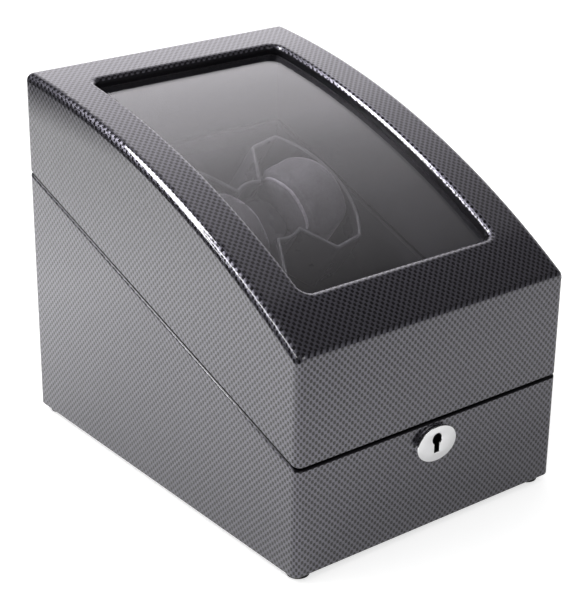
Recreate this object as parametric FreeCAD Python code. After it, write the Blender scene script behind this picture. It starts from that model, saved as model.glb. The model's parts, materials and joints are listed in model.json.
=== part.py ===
import FreeCAD, Part
import math
import os
from FreeCAD import Placement, Rotation, Vector

# Watch winder box: a lockable base, a hinged curved lid with a sunk window, and a
# motor-driven turntable that carries two watch pillows.
# Millimetres and degrees. X to the right, Y to the back, Z up, ground at Z = 0,
# origin under the middle of the box.

# Carcass, heights taken from the underside of the base
WIDTH = 150.0
DEPTH = 204.4
FOOT_HEIGHT = 3.0
BACK_HEIGHT = 169.6
FRONT_HEIGHT = 101.2
PARTING_FRONT = 51.0
PARTING_BACK = 122.3
PARTING_GAP = 1.0
LID_RADIUS = 425.0
BASE_WALL = 9.0
LID_WALL = 8.0
LID_TOP = 4.6
CORNER_RADIUS = 3.4
LID_EDGE_RADIUS = 4.0
RIM_RADIUS = 0.6
BASE_RIM_RADIUS = 1.2
UNDER_RADIUS = 1.0

# Window: frame widths left round the opening, pane and its retaining frame
WINDOW_SIDE = 22.0
WINDOW_FRONT = 24.0
WINDOW_BACK = 23.6
WINDOW_CORNER = 5.0
WINDOW_EDGE = 3.0
PANE_THICK = 2.0
PANE_LAP = 5.0
FRAME_LAP = 9.0
FRAME_THICK = 2.5
FRAME_SCREWS = 3

# Bottom board, feet, linings
BOTTOM_THICK = 5.0
BOTTOM_LAP = 5.0
BOTTOM_SCREW_INSET = 62.4
FOOT_RADIUS = 5.0
FOOT_INSET = 7.5
LINER_THICK = 2.0
LINER_LIP = 2.0
LINING_THICK = 1.0
LINING_SETBACK = 3.5
BUMPER_RADIUS = 3.0
BUMPER_SUNK = 1.5
BUMPER_INSET = 16.0

# Inner boards
BOARD_THICK = 5.0
SHELF_HEIGHT = 34.0
PANEL_TILT = 36.5
PANEL_DROP = 3.8
CLEAT = 8.0
CLEAT_REAR = 12.0

# Turntable, in its own frame: Z along the axle, rim plane at Z = 0
ROTOR_SET = 63.6
ROTOR_TURN = 10.4
RIM_RISE = 42.3
TRAY_RADIUS = 46.7
TRAY_HALF = 32.7
TRAY_WALL = 2.0
TRAY_CORNER = 3.0
TRAY_FLOOR = 2.5
TRAY_FOOT_RADIUS = 2.0
NOTCH_INNER = 7.3
NOTCH_OUTER = 16.9
NOTCH_BASE = 15.8
HUB_RADIUS = 17.4
HUB_RECESS = 12.0
HUB_BOSS_RADIUS = 11.0
CAP_RADIUS = 13.0
CAP_THICK = 3.0
POCKET_DEPTH = 30.0
POCKET_START = 11.5
PILLOW_SINK = 2.0
PILLOW_FOOT_RADIUS = 7.0
PILLOW_LIFT = 7.5
# Pillow sections: distance past the pocket's inner wall, half width, crown above the rim
PILLOW_SECTIONS = [
    (0.6, 18.3, 6.8),
    (2.4, 19.8, 8.6),
    (8.4, 21.0, 9.5),
    (16.2, 21.2, 9.7),
    (23.0, 20.4, 8.8),
    (27.6, 17.7, 6.8),
    (30.6, 11.6, 4.0),
]

# Drive
SHAFT_RADIUS = 3.0
SHAFT_SEAT = 18.0
BUSH_RADIUS = 5.0
BUSH_FLANGE = 8.0
BUSH_FLANGE_THICK = 1.5
BUSH_LENGTH = 9.0
WASHER_RADIUS = 7.0
WASHER_THICK = 0.8
GEAR_MODULE = 0.8
GEAR_TEETH = 54
PINION_TEETH = 18
GEAR_FACE = 6.0
GEAR_HUB_RADIUS = 8.0
GEAR_HUB = 1.7
GEAR_CLEAR = 2.5
PINION_PROUD = 0.5
TOOTH_BACKLASH = 0.16
PLATE_THICK = 2.5
PLATE_GAP = 12.0
PLATE_HALF = 22.0
PLATE_LEFT = 26.0
PLATE_RIGHT = 52.0
SPACER_RADIUS = 3.2
SPACER_INSET = 5.0
GEARBOX_RADIUS = 15.0
GEARBOX_LENGTH = 16.0
GEARBOX_OFFSET = 5.0
GEARBOX_BOSS = 4.5
MOTOR_RADIUS = 12.0
MOTOR_LENGTH = 25.0
MOTOR_EDGE = 1.5
MOTOR_TAIL_RADIUS = 4.0
MOTOR_TAIL = 2.0
TAB_OUT = 7.2
TAB_HALF = 1.2
TAB_THICK = 0.8
TAB_LENGTH = 4.0
OUTPUT_RADIUS = 2.0
OUTPUT_DEPTH = 8.0
CLIP_THICK = 0.7
CLIP_RADIUS = 4.8
CLIP_GROOVE = 0.5

# Lock
LOCK_HEIGHT = 41.5
LOCK_HALF_WIDTH = 11.1
LOCK_HALF_HEIGHT = 8.2
LOCK_PROUD = 4.0
LOCK_BEVEL = 0.9
LOCK_NOZZLE = 4.8
KEY_RADIUS = 2.6
KEY_UP = 1.8
KEY_SLOT = 2.9
KEY_DOWN = 4.4
LOCK_SKIN = 2.0
CASE_HALF = 14.0
CASE_BELOW = 9.0
CASE_ABOVE = 6.0
CASE_PLATE = 1.0
BOLT_HALF = 6.0
BOLT_THICK = 3.0
BOLT_TRAVEL = 6.0
STRIKE_HALF = 15.0
STRIKE_DEPTH = 6.6

# Hinges
HINGE_INSET = 33.0
HINGE_WIDTH = 26.0
HINGE_RADIUS = 2.5
HINGE_OUT = 1.5
HINGE_PIN = 1.0
HINGE_SCREW_OUT = 8.0
HINGE_SCREW_IN = 4.34
LEAF_THICK = 0.8
LEAF_REACH = 7.0

# Controls on the shelf and power inlet
CONTROL_SHIFT = 5.3709
CONTROL_SPREAD = 26.0
CONTROL_HALF = 44.0
CONTROL_DEPTH = 32.0
CONTROL_THICK = 1.2
CONTROL_CORNER = 2.0
TICK_RADIUS = 0.7
TICK_DEPTH = 0.4
TICK_GAP = 2.5
KNOB_RADIUS = 9.0
KNOB_HEIGHT = 11.0
KNOB_TOP = 8.1
KNOB_EDGE = 1.0
KNOB_MARK_IN = 2.25
KNOB_MARK_HALF = 0.5
KNOB_MARK_DEPTH = 0.5
KNOB_STEPS = 4
KNOB_STEP = 60.0
SPINDLE_RADIUS = 3.0
NECK_RADIUS = 4.5
NECK_PROUD = 1.5
SWITCH_RADIUS = 9.0
SWITCH_DEPTH = 8.0
ROCKER_HALF_X = 4.8
ROCKER_HALF_Y = 7.4
ROCKER_TILT = 9.0
ROCKER_PIVOT = 1.2
ROCKER_WALL = 1.2
ROCKER_BEZEL = 2.0
ROCKER_DEPTH = 12.0
ROCKER_CORNER = 1.5
JACK_INSET = 35.0
JACK_HEIGHT = 22.0
JACK_FLANGE = 7.0
JACK_FLANGE_THICK = 1.5
JACK_RADIUS = 5.5
JACK_INSIDE = 8.0
JACK_SOCKET = 2.8
JACK_SOCKET_DEPTH = 9.0
JACK_PIN = 1.0
JACK_NUT = 8.0
JACK_NUT_THICK = 3.0
JACK_PIN_SETBACK = 1.0
PCB_HALF_X = 28.0
PCB_HALF_Y = 18.0
PCB_THICK = 1.6
PCB_RISE = 5.0
PCB_SETBACK = 48.0
POST_RADIUS = 3.0
POST_PIN = 1.4
POST_INSET = 4.0
POST_PROUD = 1.0
CHIP_HALF_X = 6.0
CHIP_HALF_Y = 4.0
CHIP_HEIGHT = 2.5
CAN_RADIUS = 2.5
CAN_HEIGHT = 6.0
CAN_X = -15.0
CAN_PLACES = [4.0, -5.0]
PLUG_X = 15.0
PLUG_HALF_Y = 3.0
PLUG_HEIGHT = 5.0
# Plug sockets on the board: half width, distance behind the board's middle
PLUGS = [(4.0, -7.0), (5.0, 9.0)]

# Fasteners: head radius, shank radius, length
SCREW_SMALL = (1.7, 0.9, 6.0)
SCREW_MID = (2.4, 1.3, 9.0)
SCREW_HEAD_MID = 1.4
SCREW_BOTTOM = (2.2, 1.1, 12.0)
SCREW_FRAME = (1.5, 0.8, 7.5)
SCREW_CASE = (1.5, 0.8, 8.2)
SCREW_PLATE = (2.4, 1.3, 18.0)
SCREW_GEARBOX = (1.9, 1.0, 6.5)
SCREW_HEAD_GEARBOX = 1.2
# Cross recess: reach as a share of the head, half width and depth in flat and round heads
CROSS_REACH = 0.62
CROSS_FLAT = (0.22, 0.5)
CROSS_ROUND = (0.25, 0.6)

# Clearances
SEAT = 0.02
RUN = 0.03
SLIDE = 0.3
REST = 0.05
BOARD_FIT = 0.25
GLUE = 0.1

# Values that follow from the sizes above
HALF_W = WIDTH / 2
HALF_D = DEPTH / 2
JACK_X = -HALF_W + JACK_INSET
SLOPE = (PARTING_BACK - PARTING_FRONT) / DEPTH
PART_ANGLE = math.degrees(math.atan(SLOPE))
PART_COS = math.cos(math.radians(PART_ANGLE))
FLOOR_Z = FOOT_HEIGHT + BOTTOM_THICK
SHELF_Z = FOOT_HEIGHT + SHELF_HEIGHT
IN_X = HALF_W - BASE_WALL - LINER_THICK
IN_Y = HALF_D - BASE_WALL - LINER_THICK
TILT = math.radians(PANEL_TILT)
WIN_HALF = HALF_W - WINDOW_SIDE
GEAR_CENTRE = GEAR_MODULE * (GEAR_TEETH + PINION_TEETH) / 2
LOCK_Z = FOOT_HEIGHT + LOCK_HEIGHT
BIG = 4 * (WIDTH + DEPTH + BACK_HEIGHT)
X_AXIS = Vector(1, 0, 0)
Z_AXIS = Vector(0, 0, 1)


def parting_z(y):
    return FOOT_HEIGHT + PARTING_FRONT + (y + HALF_D) * SLOPE


# Small solids
def block(x0, x1, y0, y1, z0, z1):
    return Part.makeBox(x1 - x0, y1 - y0, z1 - z0, Vector(x0, y0, z0))


def rod(radius, z0, z1, x=0.0, y=0.0):
    return Part.makeCylinder(radius, z1 - z0, Vector(x, y, z0), Z_AXIS)


def cone(r0, r1, z0, z1):
    return Part.makeCone(r0, r1, z1 - z0, Vector(0, 0, z0), Z_AXIS)


def ring(r_in, r_out, z0, z1, x=0.0, y=0.0):
    return rod(r_out, z0, z1, x, y).cut(rod(r_in, z0, z1, x, y))


def prism_x(points, x0, x1):
    corners = [Vector(x0, y, z) for y, z in points]
    return Part.Face(Part.makePolygon(corners + corners[:1])).extrude(Vector(x1 - x0, 0, 0))


def prism_z(points, z0, z1):
    corners = [Vector(x, y, z0) for x, y in points]
    return Part.Face(Part.makePolygon(corners + corners[:1])).extrude(Vector(0, 0, z1 - z0))


def below_parting(offset):
    rise = offset / PART_COS
    return prism_x([(-BIG, -BIG), (BIG, -BIG), (BIG, parting_z(BIG) + rise),
                    (-BIG, parting_z(-BIG) + rise)], -BIG, BIG)


def fuse_all(shapes):
    return shapes[0].multiFuse(shapes[1:]).removeSplitter()


def cut_all(shape, tools):
    return shape.cut(Part.makeCompound(tools)) if tools else shape


def placed(shape, placement):
    moved = shape.copy()
    moved.Placement = placement.multiply(moved.Placement)
    return moved


def at(x, y, z, direction=Z_AXIS):
    return Placement(Vector(x, y, z), Rotation(Z_AXIS, direction))


# Screws point down from a head whose top or seat is at Z = 0
def cross_recess(head, cut, top):
    arm = head * CROSS_REACH
    half, depth = cut
    return block(-arm, arm, -half, half, top - depth, top + 1).fuse(
        block(-half, half, -arm, arm, top - depth, top + 1))


def flat_screw(size, grow=0.0):
    head, shank, length = size
    taper = head - shank
    body = cone(shank + grow, head + grow, -taper, 0).fuse(rod(shank + grow, -length - grow, -taper))
    if grow:
        return body.fuse(rod(head + grow, 0, head))
    return body.cut(cross_recess(head, CROSS_FLAT, 0))


def round_screw(size, head_height, grow=0.0):
    head, shank, length = size
    body = rod(head + grow, 0, head_height + grow).fuse(rod(shank + grow, -length - grow, 0))
    if grow:
        return body
    return body.cut(cross_recess(head, CROSS_ROUND, head_height))


# Lid arc, a cylinder about an X line far below the lid
def arc_centre():
    back = (HALF_D, FOOT_HEIGHT + BACK_HEIGHT)
    front = (-HALF_D, FOOT_HEIGHT + FRONT_HEIGHT)
    dy, dz = back[0] - front[0], back[1] - front[1]
    chord = math.hypot(dy, dz)
    drop = math.sqrt(LID_RADIUS ** 2 - chord ** 2 / 4)
    middle = ((back[0] + front[0]) / 2, (back[1] + front[1]) / 2)
    return middle[0] + drop * dz / chord, middle[1] - drop * dy / chord


ARC_Y, ARC_Z = arc_centre()


def arc_angle(y):
    return math.acos((y - ARC_Y) / LID_RADIUS)


def arc_point(angle, radius, x=0.0):
    return Vector(x, ARC_Y + radius * math.cos(angle), ARC_Z + radius * math.sin(angle))


WIN_FRONT = arc_angle(-HALF_D + WINDOW_FRONT)
WIN_BACK = arc_angle(HALF_D - WINDOW_BACK)
UNDER_R = LID_RADIUS - LID_TOP
PANE_R = UNDER_R - GLUE
FRAME_R = PANE_R - PANE_THICK - FRAME_THICK


def sector(r_in, r_out, lap, half):
    a0 = WIN_BACK - lap / LID_RADIUS
    a1 = WIN_FRONT + lap / LID_RADIUS
    mid = (a0 + a1) / 2
    outer = Part.Arc(arc_point(a0, r_out, -half), arc_point(mid, r_out, -half), arc_point(a1, r_out, -half))
    inner = Part.Arc(arc_point(a1, r_in, -half), arc_point(mid, r_in, -half), arc_point(a0, r_in, -half))
    sides = [Part.makeLine(arc_point(a1, r_out, -half), arc_point(a1, r_in, -half)),
             Part.makeLine(arc_point(a0, r_in, -half), arc_point(a0, r_out, -half))]
    wire = Part.Wire([outer.toShape(), sides[0], inner.toShape(), sides[1]])
    return Part.Face(wire).extrude(Vector(2 * half, 0, 0))


def lid_block(inset, radius, floor_offset):
    """Side profile under an arc, as wide and deep as the carcass less the inset."""
    y0, y1 = -HALF_D + inset, HALF_D - inset
    x0 = -HALF_W + inset

    def top(y):
        return Vector(x0, y, ARC_Z + math.sqrt(radius ** 2 - (y - ARC_Y) ** 2))

    rise = floor_offset / PART_COS
    low0, low1 = Vector(x0, y0, parting_z(y0) + rise), Vector(x0, y1, parting_z(y1) + rise)
    arc = Part.Arc(top(y1), top((y0 + y1) / 2), top(y0)).toShape()
    wire = Part.Wire([Part.makeLine(low0, low1), Part.makeLine(low1, top(y1)), arc,
                      Part.makeLine(top(y0), low0)])
    return Part.Face(wire).extrude(Vector(2 * (HALF_W - inset), 0, 0))


# Edge choosers
def on_arc(edge, radius):
    return all(abs(math.hypot(v.Y - ARC_Y, v.Z - ARC_Z) - radius) < 1e-3 for v in edge.Vertexes)


def on_parting(edge, offset):
    return all(abs(v.Z - parting_z(v.Y) - offset / PART_COS) < 1e-3 for v in edge.Vertexes)


def upright(edge):
    a, b = edge.Vertexes[0].Point, edge.Vertexes[-1].Point
    return abs(a.x - b.x) < 1e-4 and abs(a.y - b.y) < 1e-4 and abs(a.z - b.z) > 1e-2


# Frames of the sloping parting plane, the hinge line and the turntable
def parting_frame(y):
    return Placement(Vector(0, y, parting_z(y)), Rotation(X_AXIS, PART_ANGLE))


HINGE_FRAME = parting_frame(HALF_D + HINGE_OUT)
PANEL_Y = IN_Y - BOARD_FIT
PANEL_Z = parting_z(PANEL_Y) - PANEL_DROP
ROTOR_AT = Vector(0, PANEL_Y - ROTOR_SET * math.cos(TILT) - RIM_RISE * math.sin(TILT),
                  PANEL_Z - ROTOR_SET * math.sin(TILT) + RIM_RISE * math.cos(TILT))
DRIVE_FRAME = Placement(ROTOR_AT, Rotation(X_AXIS, PANEL_TILT))
ROTOR_FRAME = DRIVE_FRAME.multiply(Placement(Vector(0, 0, 0), Rotation(Z_AXIS, ROTOR_TURN)))

# Levels along the axle, below the rim plane
TRAY_DEPTH = POCKET_DEPTH + TRAY_FLOOR
PANEL_TOP = -RIM_RISE
PANEL_UNDER = PANEL_TOP - BOARD_THICK
WASHER_TOP = PANEL_TOP + BUSH_FLANGE_THICK + WASHER_THICK
HUB_FOOT = WASHER_TOP + SLIDE
GEAR_TOP = PANEL_UNDER - GEAR_CLEAR
PLATE_TOP = PANEL_UNDER - PLATE_GAP
PLATE_UNDER = PLATE_TOP - PLATE_THICK
LOWER_BUSH_END = PLATE_TOP - BUSH_LENGTH
CLIP_TOP = LOWER_BUSH_END - SLIDE
SHAFT_END = CLIP_TOP - CLIP_THICK - CLIP_RADIUS / 2
GEARBOX_END = PLATE_UNDER - GEARBOX_LENGTH


# Hinge pieces, in the hinge frame: X along the pin, Y up the parting plane
def hinge_leaf(side, outer):
    """One leaf: side +1 on the lid, -1 on the base; outer leaves carry two knuckles."""
    third = HINGE_WIDTH / 3
    half = HINGE_WIDTH / 2
    own = [(-half, -third / 2 - SLIDE / 2), (third / 2 + SLIDE / 2, half)] if outer else [
        (-third / 2 + SLIDE / 2, third / 2 - SLIDE / 2)]
    far = -(HINGE_OUT + LEAF_REACH) / PART_COS
    near = -HINGE_RADIUS - SLIDE
    levels = sorted([side * PARTING_GAP / 2, side * (PARTING_GAP / 2 + LEAF_THICK)])
    solids = [block(-half, half, far, near, levels[0], levels[1])]
    for x0, x1 in own:
        solids.append(block(x0, x1, near - 0.5, -HINGE_PIN - SLIDE, levels[0], levels[1]))
        solids.append(Part.makeCylinder(HINGE_RADIUS, x1 - x0, Vector(x0, 0, 0), X_AXIS))
    leaf = fuse_all(solids)
    leaf = leaf.cut(Part.makeCylinder(HINGE_PIN + RUN, HINGE_WIDTH, Vector(-half, 0, 0), X_AXIS))
    return cut_all(leaf, [placed(flat_screw(SCREW_SMALL, SEAT), place) for place in hinge_screw_places(side)])


def hinge_mortise(side):
    half = HINGE_WIDTH / 2 + REST
    far = -(HINGE_OUT + LEAF_REACH) / PART_COS - REST
    depth = PARTING_GAP / 2 + LEAF_THICK
    levels = sorted([-side * HINGE_RADIUS, side * depth])
    pocket = block(-half, half, far, HINGE_RADIUS, levels[0], levels[1])
    room = HINGE_RADIUS + SLIDE
    return pocket.fuse(Part.makeCylinder(room, 2 * half, Vector(-half, 0, 0), X_AXIS))


def hinge_screw_places(side):
    reach = -(HINGE_OUT + HINGE_SCREW_IN) / PART_COS
    turn = Rotation(X_AXIS, 180 if side > 0 else 0)
    places = []
    for x in (-HINGE_SCREW_OUT, HINGE_SCREW_OUT):
        places.append(Placement(Vector(x, reach, side * PARTING_GAP / 2), turn))
    return places


def hinge_at(index):
    return HINGE_FRAME.multiply(Placement(Vector(index * (HALF_W - HINGE_INSET), 0, 0), Rotation()))


def hinge_screws(side, grow=0.0):
    solids = []
    for index in (-1, 1):
        for place in hinge_screw_places(side):
            solids.append(placed(flat_screw(SCREW_SMALL, grow), hinge_at(index).multiply(place)))
    return solids


# Lock pieces
LOCK_BACK = -HALF_D + BASE_WALL
CASE_FRONT = -HALF_D + LOCK_SKIN
BOLT_Y0 = CASE_FRONT + CASE_PLATE + SLIDE
BOLT_Y1 = BOLT_Y0 + BOLT_THICK
RIM_DROP = PARTING_GAP / 2 / PART_COS
BOLT_TOP = parting_z(BOLT_Y0) - RIM_DROP - SLIDE
BOLT_FOOT = LOCK_Z - CASE_BELOW + CASE_PLATE + SLIDE
STRIKE_Y = (BOLT_Y0 + BOLT_Y1) / 2
STRIKE_FRAME = parting_frame(STRIKE_Y)


def bolt_room(z0, z1, grow=0.0):
    side = BOLT_HALF + SLIDE + grow
    return block(-side, side, BOLT_Y0 - SLIDE - grow, BOLT_Y1 + SLIDE + grow, z0, z1)


def keyhole(y0, y1):
    head = Part.makeCylinder(KEY_RADIUS, y1 - y0, Vector(0, y0, LOCK_Z + KEY_UP), Vector(0, 1, 0))
    slot = block(-KEY_SLOT / 2, KEY_SLOT / 2, y0, y1, LOCK_Z - KEY_DOWN, LOCK_Z + KEY_UP)
    return head.fuse(slot)


def lock_nozzle(radius, y0, y1):
    return Part.makeCylinder(radius, y1 - y0, Vector(0, y0, LOCK_Z), Vector(0, 1, 0))


def lock_escutcheon():
    oval = Part.Ellipse(Vector(0, 0, 0), LOCK_HALF_WIDTH, LOCK_HALF_HEIGHT).toShape()
    plate = Part.Face(Part.Wire(oval)).extrude(Vector(0, 0, LOCK_PROUD))
    front = [e for e in plate.Edges if abs(e.BoundBox.ZMin - LOCK_PROUD) < 1e-4]
    plate = plate.makeChamfer(LOCK_BEVEL, front)
    plate = placed(plate, Placement(Vector(0, -HALF_D, LOCK_Z), Rotation(X_AXIS, 90)))
    nozzle = lock_nozzle(LOCK_NOZZLE, -HALF_D, CASE_FRONT)
    return plate.fuse(nozzle).removeSplitter().cut(keyhole(-HALF_D - LOCK_PROUD, CASE_FRONT))


def case_screws(grow=0.0):
    reach = (CASE_HALF + BOLT_HALF) / 2 + SLIDE / 2
    facing = Vector(0, 1, 0)
    level = LOCK_Z - CASE_BELOW / 2
    return [placed(flat_screw(SCREW_CASE, grow), at(x, LOCK_BACK, level, facing))
            for x in (-reach, reach)]


def lock_case():
    z0, z1 = LOCK_Z - CASE_BELOW, LOCK_Z + CASE_ABOVE
    case = block(-CASE_HALF, CASE_HALF, CASE_FRONT, LOCK_BACK, z0, z1)
    tools = [bolt_room(z0 + CASE_PLATE, z1), keyhole(CASE_FRONT, BOLT_Y0)]
    return cut_all(case, tools + case_screws(SEAT))


def lock_bolt():
    bolt = block(-BOLT_HALF, BOLT_HALF, BOLT_Y0, BOLT_Y1, BOLT_FOOT, BOLT_TOP)
    talon = LOCK_Z - KEY_DOWN
    notch = block(-BOLT_HALF / 2, BOLT_HALF / 2, BOLT_Y0, BOLT_Y1, BOLT_FOOT, talon + 1.5)
    return bolt.cut(notch)


def strike_screws(grow=0.0):
    turn = Rotation(X_AXIS, 180)
    reach = (STRIKE_HALF + BOLT_HALF) / 2
    places = [Placement(Vector(x, 0, PARTING_GAP / 2), turn) for x in (-reach, reach)]
    return [placed(flat_screw(SCREW_SMALL, grow), STRIKE_FRAME.multiply(p)) for p in places]


def strike_plate(grow=0.0):
    half, reach = STRIKE_HALF + grow, STRIKE_DEPTH / 2 + grow
    low = PARTING_GAP / 2 - (PARTING_GAP if grow else 0)
    plate = block(-half, half, -reach, reach, low, PARTING_GAP / 2 + LEAF_THICK)
    return placed(plate, STRIKE_FRAME)


def lid_bolt_pocket():
    return bolt_room(BOLT_TOP - SLIDE, BOLT_TOP + BOLT_TRAVEL + SLIDE)


# Base body
def foot_places():
    dx, dy = HALF_W - FOOT_INSET, HALF_D - FOOT_INSET
    return [(-dx, -dy), (dx, -dy), (-dx, dy), (dx, dy)]


def foot():
    body = rod(FOOT_RADIUS, 0, FOOT_HEIGHT)
    lower = [e for e in body.Edges if abs(e.BoundBox.ZMax) < 1e-6]
    body = body.makeFillet(FOOT_HEIGHT / 5, lower)
    head, shank, length = SCREW_MID
    body = body.cut(rod(head + SLIDE, 0, FOOT_HEIGHT / 2))
    return body.cut(rod(shank + SEAT, 0, FOOT_HEIGHT))


def foot_screws(grow=0.0):
    down = Vector(0, 0, -1)
    shape = round_screw(SCREW_MID, SCREW_HEAD_MID * 0.8, grow)
    return [placed(shape, at(x, y, FOOT_HEIGHT / 2, down)) for x, y in foot_places()]


def bottom_screws(grow=0.0):
    dx = HALF_W - BASE_WALL + BOTTOM_LAP / 2
    dy = HALF_D - BASE_WALL + BOTTOM_LAP / 2
    span = HALF_D - BOTTOM_SCREW_INSET
    points = [(-dx, -span), (dx, -span), (-dx, span), (dx, span), (0, -dy), (0, dy)]
    shape = flat_screw(SCREW_BOTTOM, grow)
    return [placed(shape, at(x, y, FOOT_HEIGHT, Vector(0, 0, -1))) for x, y in points]


def base_bottom():
    x, y = HALF_W - BASE_WALL + BOTTOM_LAP, HALF_D - BASE_WALL + BOTTOM_LAP
    board = block(-x, x, -y, y, FOOT_HEIGHT, FLOOR_Z)
    return cut_all(board, bottom_screws(SEAT) + foot_screws(SEAT) + pcb_pins(SEAT))


def bumpers(grow=0.0):
    solids = []
    for x in (-HALF_W + BUMPER_INSET, HALF_W - BUMPER_INSET):
        frame = parting_frame(-HALF_D + BASE_WALL / 2).multiply(Placement(Vector(x, 0, 0), Rotation()))
        top = PARTING_GAP if grow else PARTING_GAP / 2 - REST
        solids.append(placed(rod(BUMPER_RADIUS + grow, -PARTING_GAP / 2 - BUMPER_SUNK - grow, top), frame))
    return solids


def jack_bore(radius, y0, y1):
    return Part.makeCylinder(radius, y1 - y0, Vector(JACK_X, y0, FOOT_HEIGHT + JACK_HEIGHT), Vector(0, 1, 0))


def base_shell():
    low = -PARTING_GAP / 2
    top = [(-HALF_D, parting_z(-HALF_D) - RIM_DROP), (HALF_D, parting_z(HALF_D) - RIM_DROP)]
    shell = prism_x([(-HALF_D, FOOT_HEIGHT), (HALF_D, FOOT_HEIGHT), top[1], top[0]], -HALF_W, HALF_W)
    shell = shell.makeFillet(CORNER_RADIUS, [e for e in shell.Edges if upright(e)])
    shell = shell.makeFillet(BASE_RIM_RADIUS, [e for e in shell.Edges if on_parting(e, low)])
    under = [e for e in shell.Edges if all(abs(v.Z - FOOT_HEIGHT) < 1e-4 for v in e.Vertexes)]
    shell = shell.makeFillet(UNDER_RADIUS, under)
    x, y = HALF_W - BASE_WALL, HALF_D - BASE_WALL
    lap = BOTTOM_LAP
    tools = [block(-x, x, -y, y, 0, BIG), block(-x - lap, x + lap, -y - lap, y + lap, 0, FLOOR_Z)]
    tools += [placed(hinge_mortise(-1), hinge_at(i)) for i in (-1, 1)] + hinge_screws(-1, SEAT)
    tools += [block(-CASE_HALF - SEAT, CASE_HALF + SEAT, CASE_FRONT, LOCK_BACK,
                    LOCK_Z - CASE_BELOW - SEAT, LOCK_Z + CASE_ABOVE + SEAT)]
    tools += [bolt_room(LOCK_Z + CASE_ABOVE, BIG), lock_nozzle(LOCK_NOZZLE + SEAT, -HALF_D, CASE_FRONT)]
    tools += case_screws(SEAT) + bottom_screws(SEAT) + foot_screws(SEAT) + bumpers(SEAT)
    tools += [jack_bore(JACK_RADIUS + SEAT, 0, BIG),
              jack_bore(JACK_FLANGE + SLIDE, HALF_D - JACK_FLANGE_THICK, BIG)]
    return cut_all(shell, tools)


def base_liner():
    x, y = HALF_W - BASE_WALL, HALF_D - BASE_WALL
    wall = block(-x, x, -y, y, FLOOR_Z, BIG).cut(block(-IN_X, IN_X, -IN_Y, IN_Y, 0, BIG))
    wall = wall.common(below_parting(LINER_LIP))
    return wall.cut(jack_bore(JACK_RADIUS + SEAT, 0, BIG))


# Inner boards
SHELF_LINE = PANEL_Y - (PANEL_Z - SHELF_Z) / math.tan(TILT)
PANEL_TOE = SHELF_LINE + BOARD_THICK / math.sin(TILT)
BOARD_X = IN_X - BOARD_FIT
CONTROL_Y = (SHELF_LINE - IN_Y) / 2 + CONTROL_SHIFT
CONTROL_Z = SHELF_Z + CONTROL_THICK
KNOB_X = CONTROL_SPREAD
ROCKER_X = -CONTROL_SPREAD


def rotor_panel():
    under = PANEL_Z - BOARD_THICK / math.cos(TILT)
    board = prism_x([(PANEL_Y, PANEL_Z), (SHELF_LINE, SHELF_Z), (PANEL_TOE, SHELF_Z), (PANEL_Y, under)],
                    -BOARD_X, BOARD_X)
    bore = rod(BUSH_RADIUS + SEAT, PANEL_UNDER - BOARD_THICK, PANEL_TOP + BOARD_THICK)
    return cut_all(board, [placed(bore, DRIVE_FRAME)] + plate_screws(SEAT))


def rocker_well(grow=0.0):
    x = ROCKER_HALF_X + SLIDE + ROCKER_WALL + grow
    y = ROCKER_HALF_Y + 2 * SLIDE + ROCKER_WALL + grow
    return block(ROCKER_X - x, ROCKER_X + x, CONTROL_Y - y, CONTROL_Y + y,
                 CONTROL_Z - ROCKER_DEPTH, CONTROL_Z)


def control_shelf():
    shelf = block(-BOARD_X, BOARD_X, -IN_Y + BOARD_FIT, PANEL_TOE + BOARD_THICK,
                  SHELF_Z - BOARD_THICK, SHELF_Z)
    neck = rod(NECK_RADIUS + SEAT, 0, BIG, KNOB_X, CONTROL_Y)
    return cut_all(shelf, [rocker_well(SEAT), neck])


def shelf_cleats():
    z1 = SHELF_Z - BOARD_THICK
    y0, y1 = -IN_Y, PANEL_TOE + BOARD_THICK
    return [block(-IN_X, -IN_X + CLEAT, y0, y1, z1 - CLEAT, z1),
            block(IN_X - CLEAT, IN_X, y0, y1, z1 - CLEAT, z1)]


def panel_cleat():
    def under(y):
        return PANEL_Z - (PANEL_Y - y) * math.tan(TILT) - BOARD_THICK / math.cos(TILT)

    y0 = IN_Y - CLEAT_REAR
    foot_z = under(y0) - CLEAT
    points = [(y0, under(y0)), (y0, foot_z), (IN_Y, foot_z), (IN_Y, under(IN_Y))]
    return prism_x(points, -IN_X, IN_X)


# Controls
def control_plate():
    y = CONTROL_DEPTH / 2
    plate = block(-CONTROL_HALF, CONTROL_HALF, CONTROL_Y - y, CONTROL_Y + y, SHELF_Z, CONTROL_Z)
    plate = plate.makeFillet(CONTROL_CORNER, [e for e in plate.Edges if upright(e)])
    tools = [rocker_well(SEAT), rod(NECK_RADIUS + SEAT, 0, BIG, KNOB_X, CONTROL_Y)]
    for step in range(KNOB_STEPS):
        angle = math.radians(90 + KNOB_STEP * (KNOB_STEPS - 1) / 2 - KNOB_STEP * step)
        reach = KNOB_RADIUS + TICK_GAP
        tools.append(rod(TICK_RADIUS, CONTROL_Z - TICK_DEPTH, CONTROL_Z, KNOB_X + reach * math.cos(angle),
                         CONTROL_Y + reach * math.sin(angle)))
    return cut_all(plate, tools)


def switch_body():
    z1 = SHELF_Z - BOARD_THICK
    body = rod(SWITCH_RADIUS, z1 - SWITCH_DEPTH, z1).fuse(rod(NECK_RADIUS, z1, CONTROL_Z + NECK_PROUD))
    body = body.cut(rod(SPINDLE_RADIUS + RUN, z1 - SWITCH_DEPTH / 2, CONTROL_Z + NECK_PROUD))
    return placed(body, at(KNOB_X, CONTROL_Y, 0))


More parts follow.
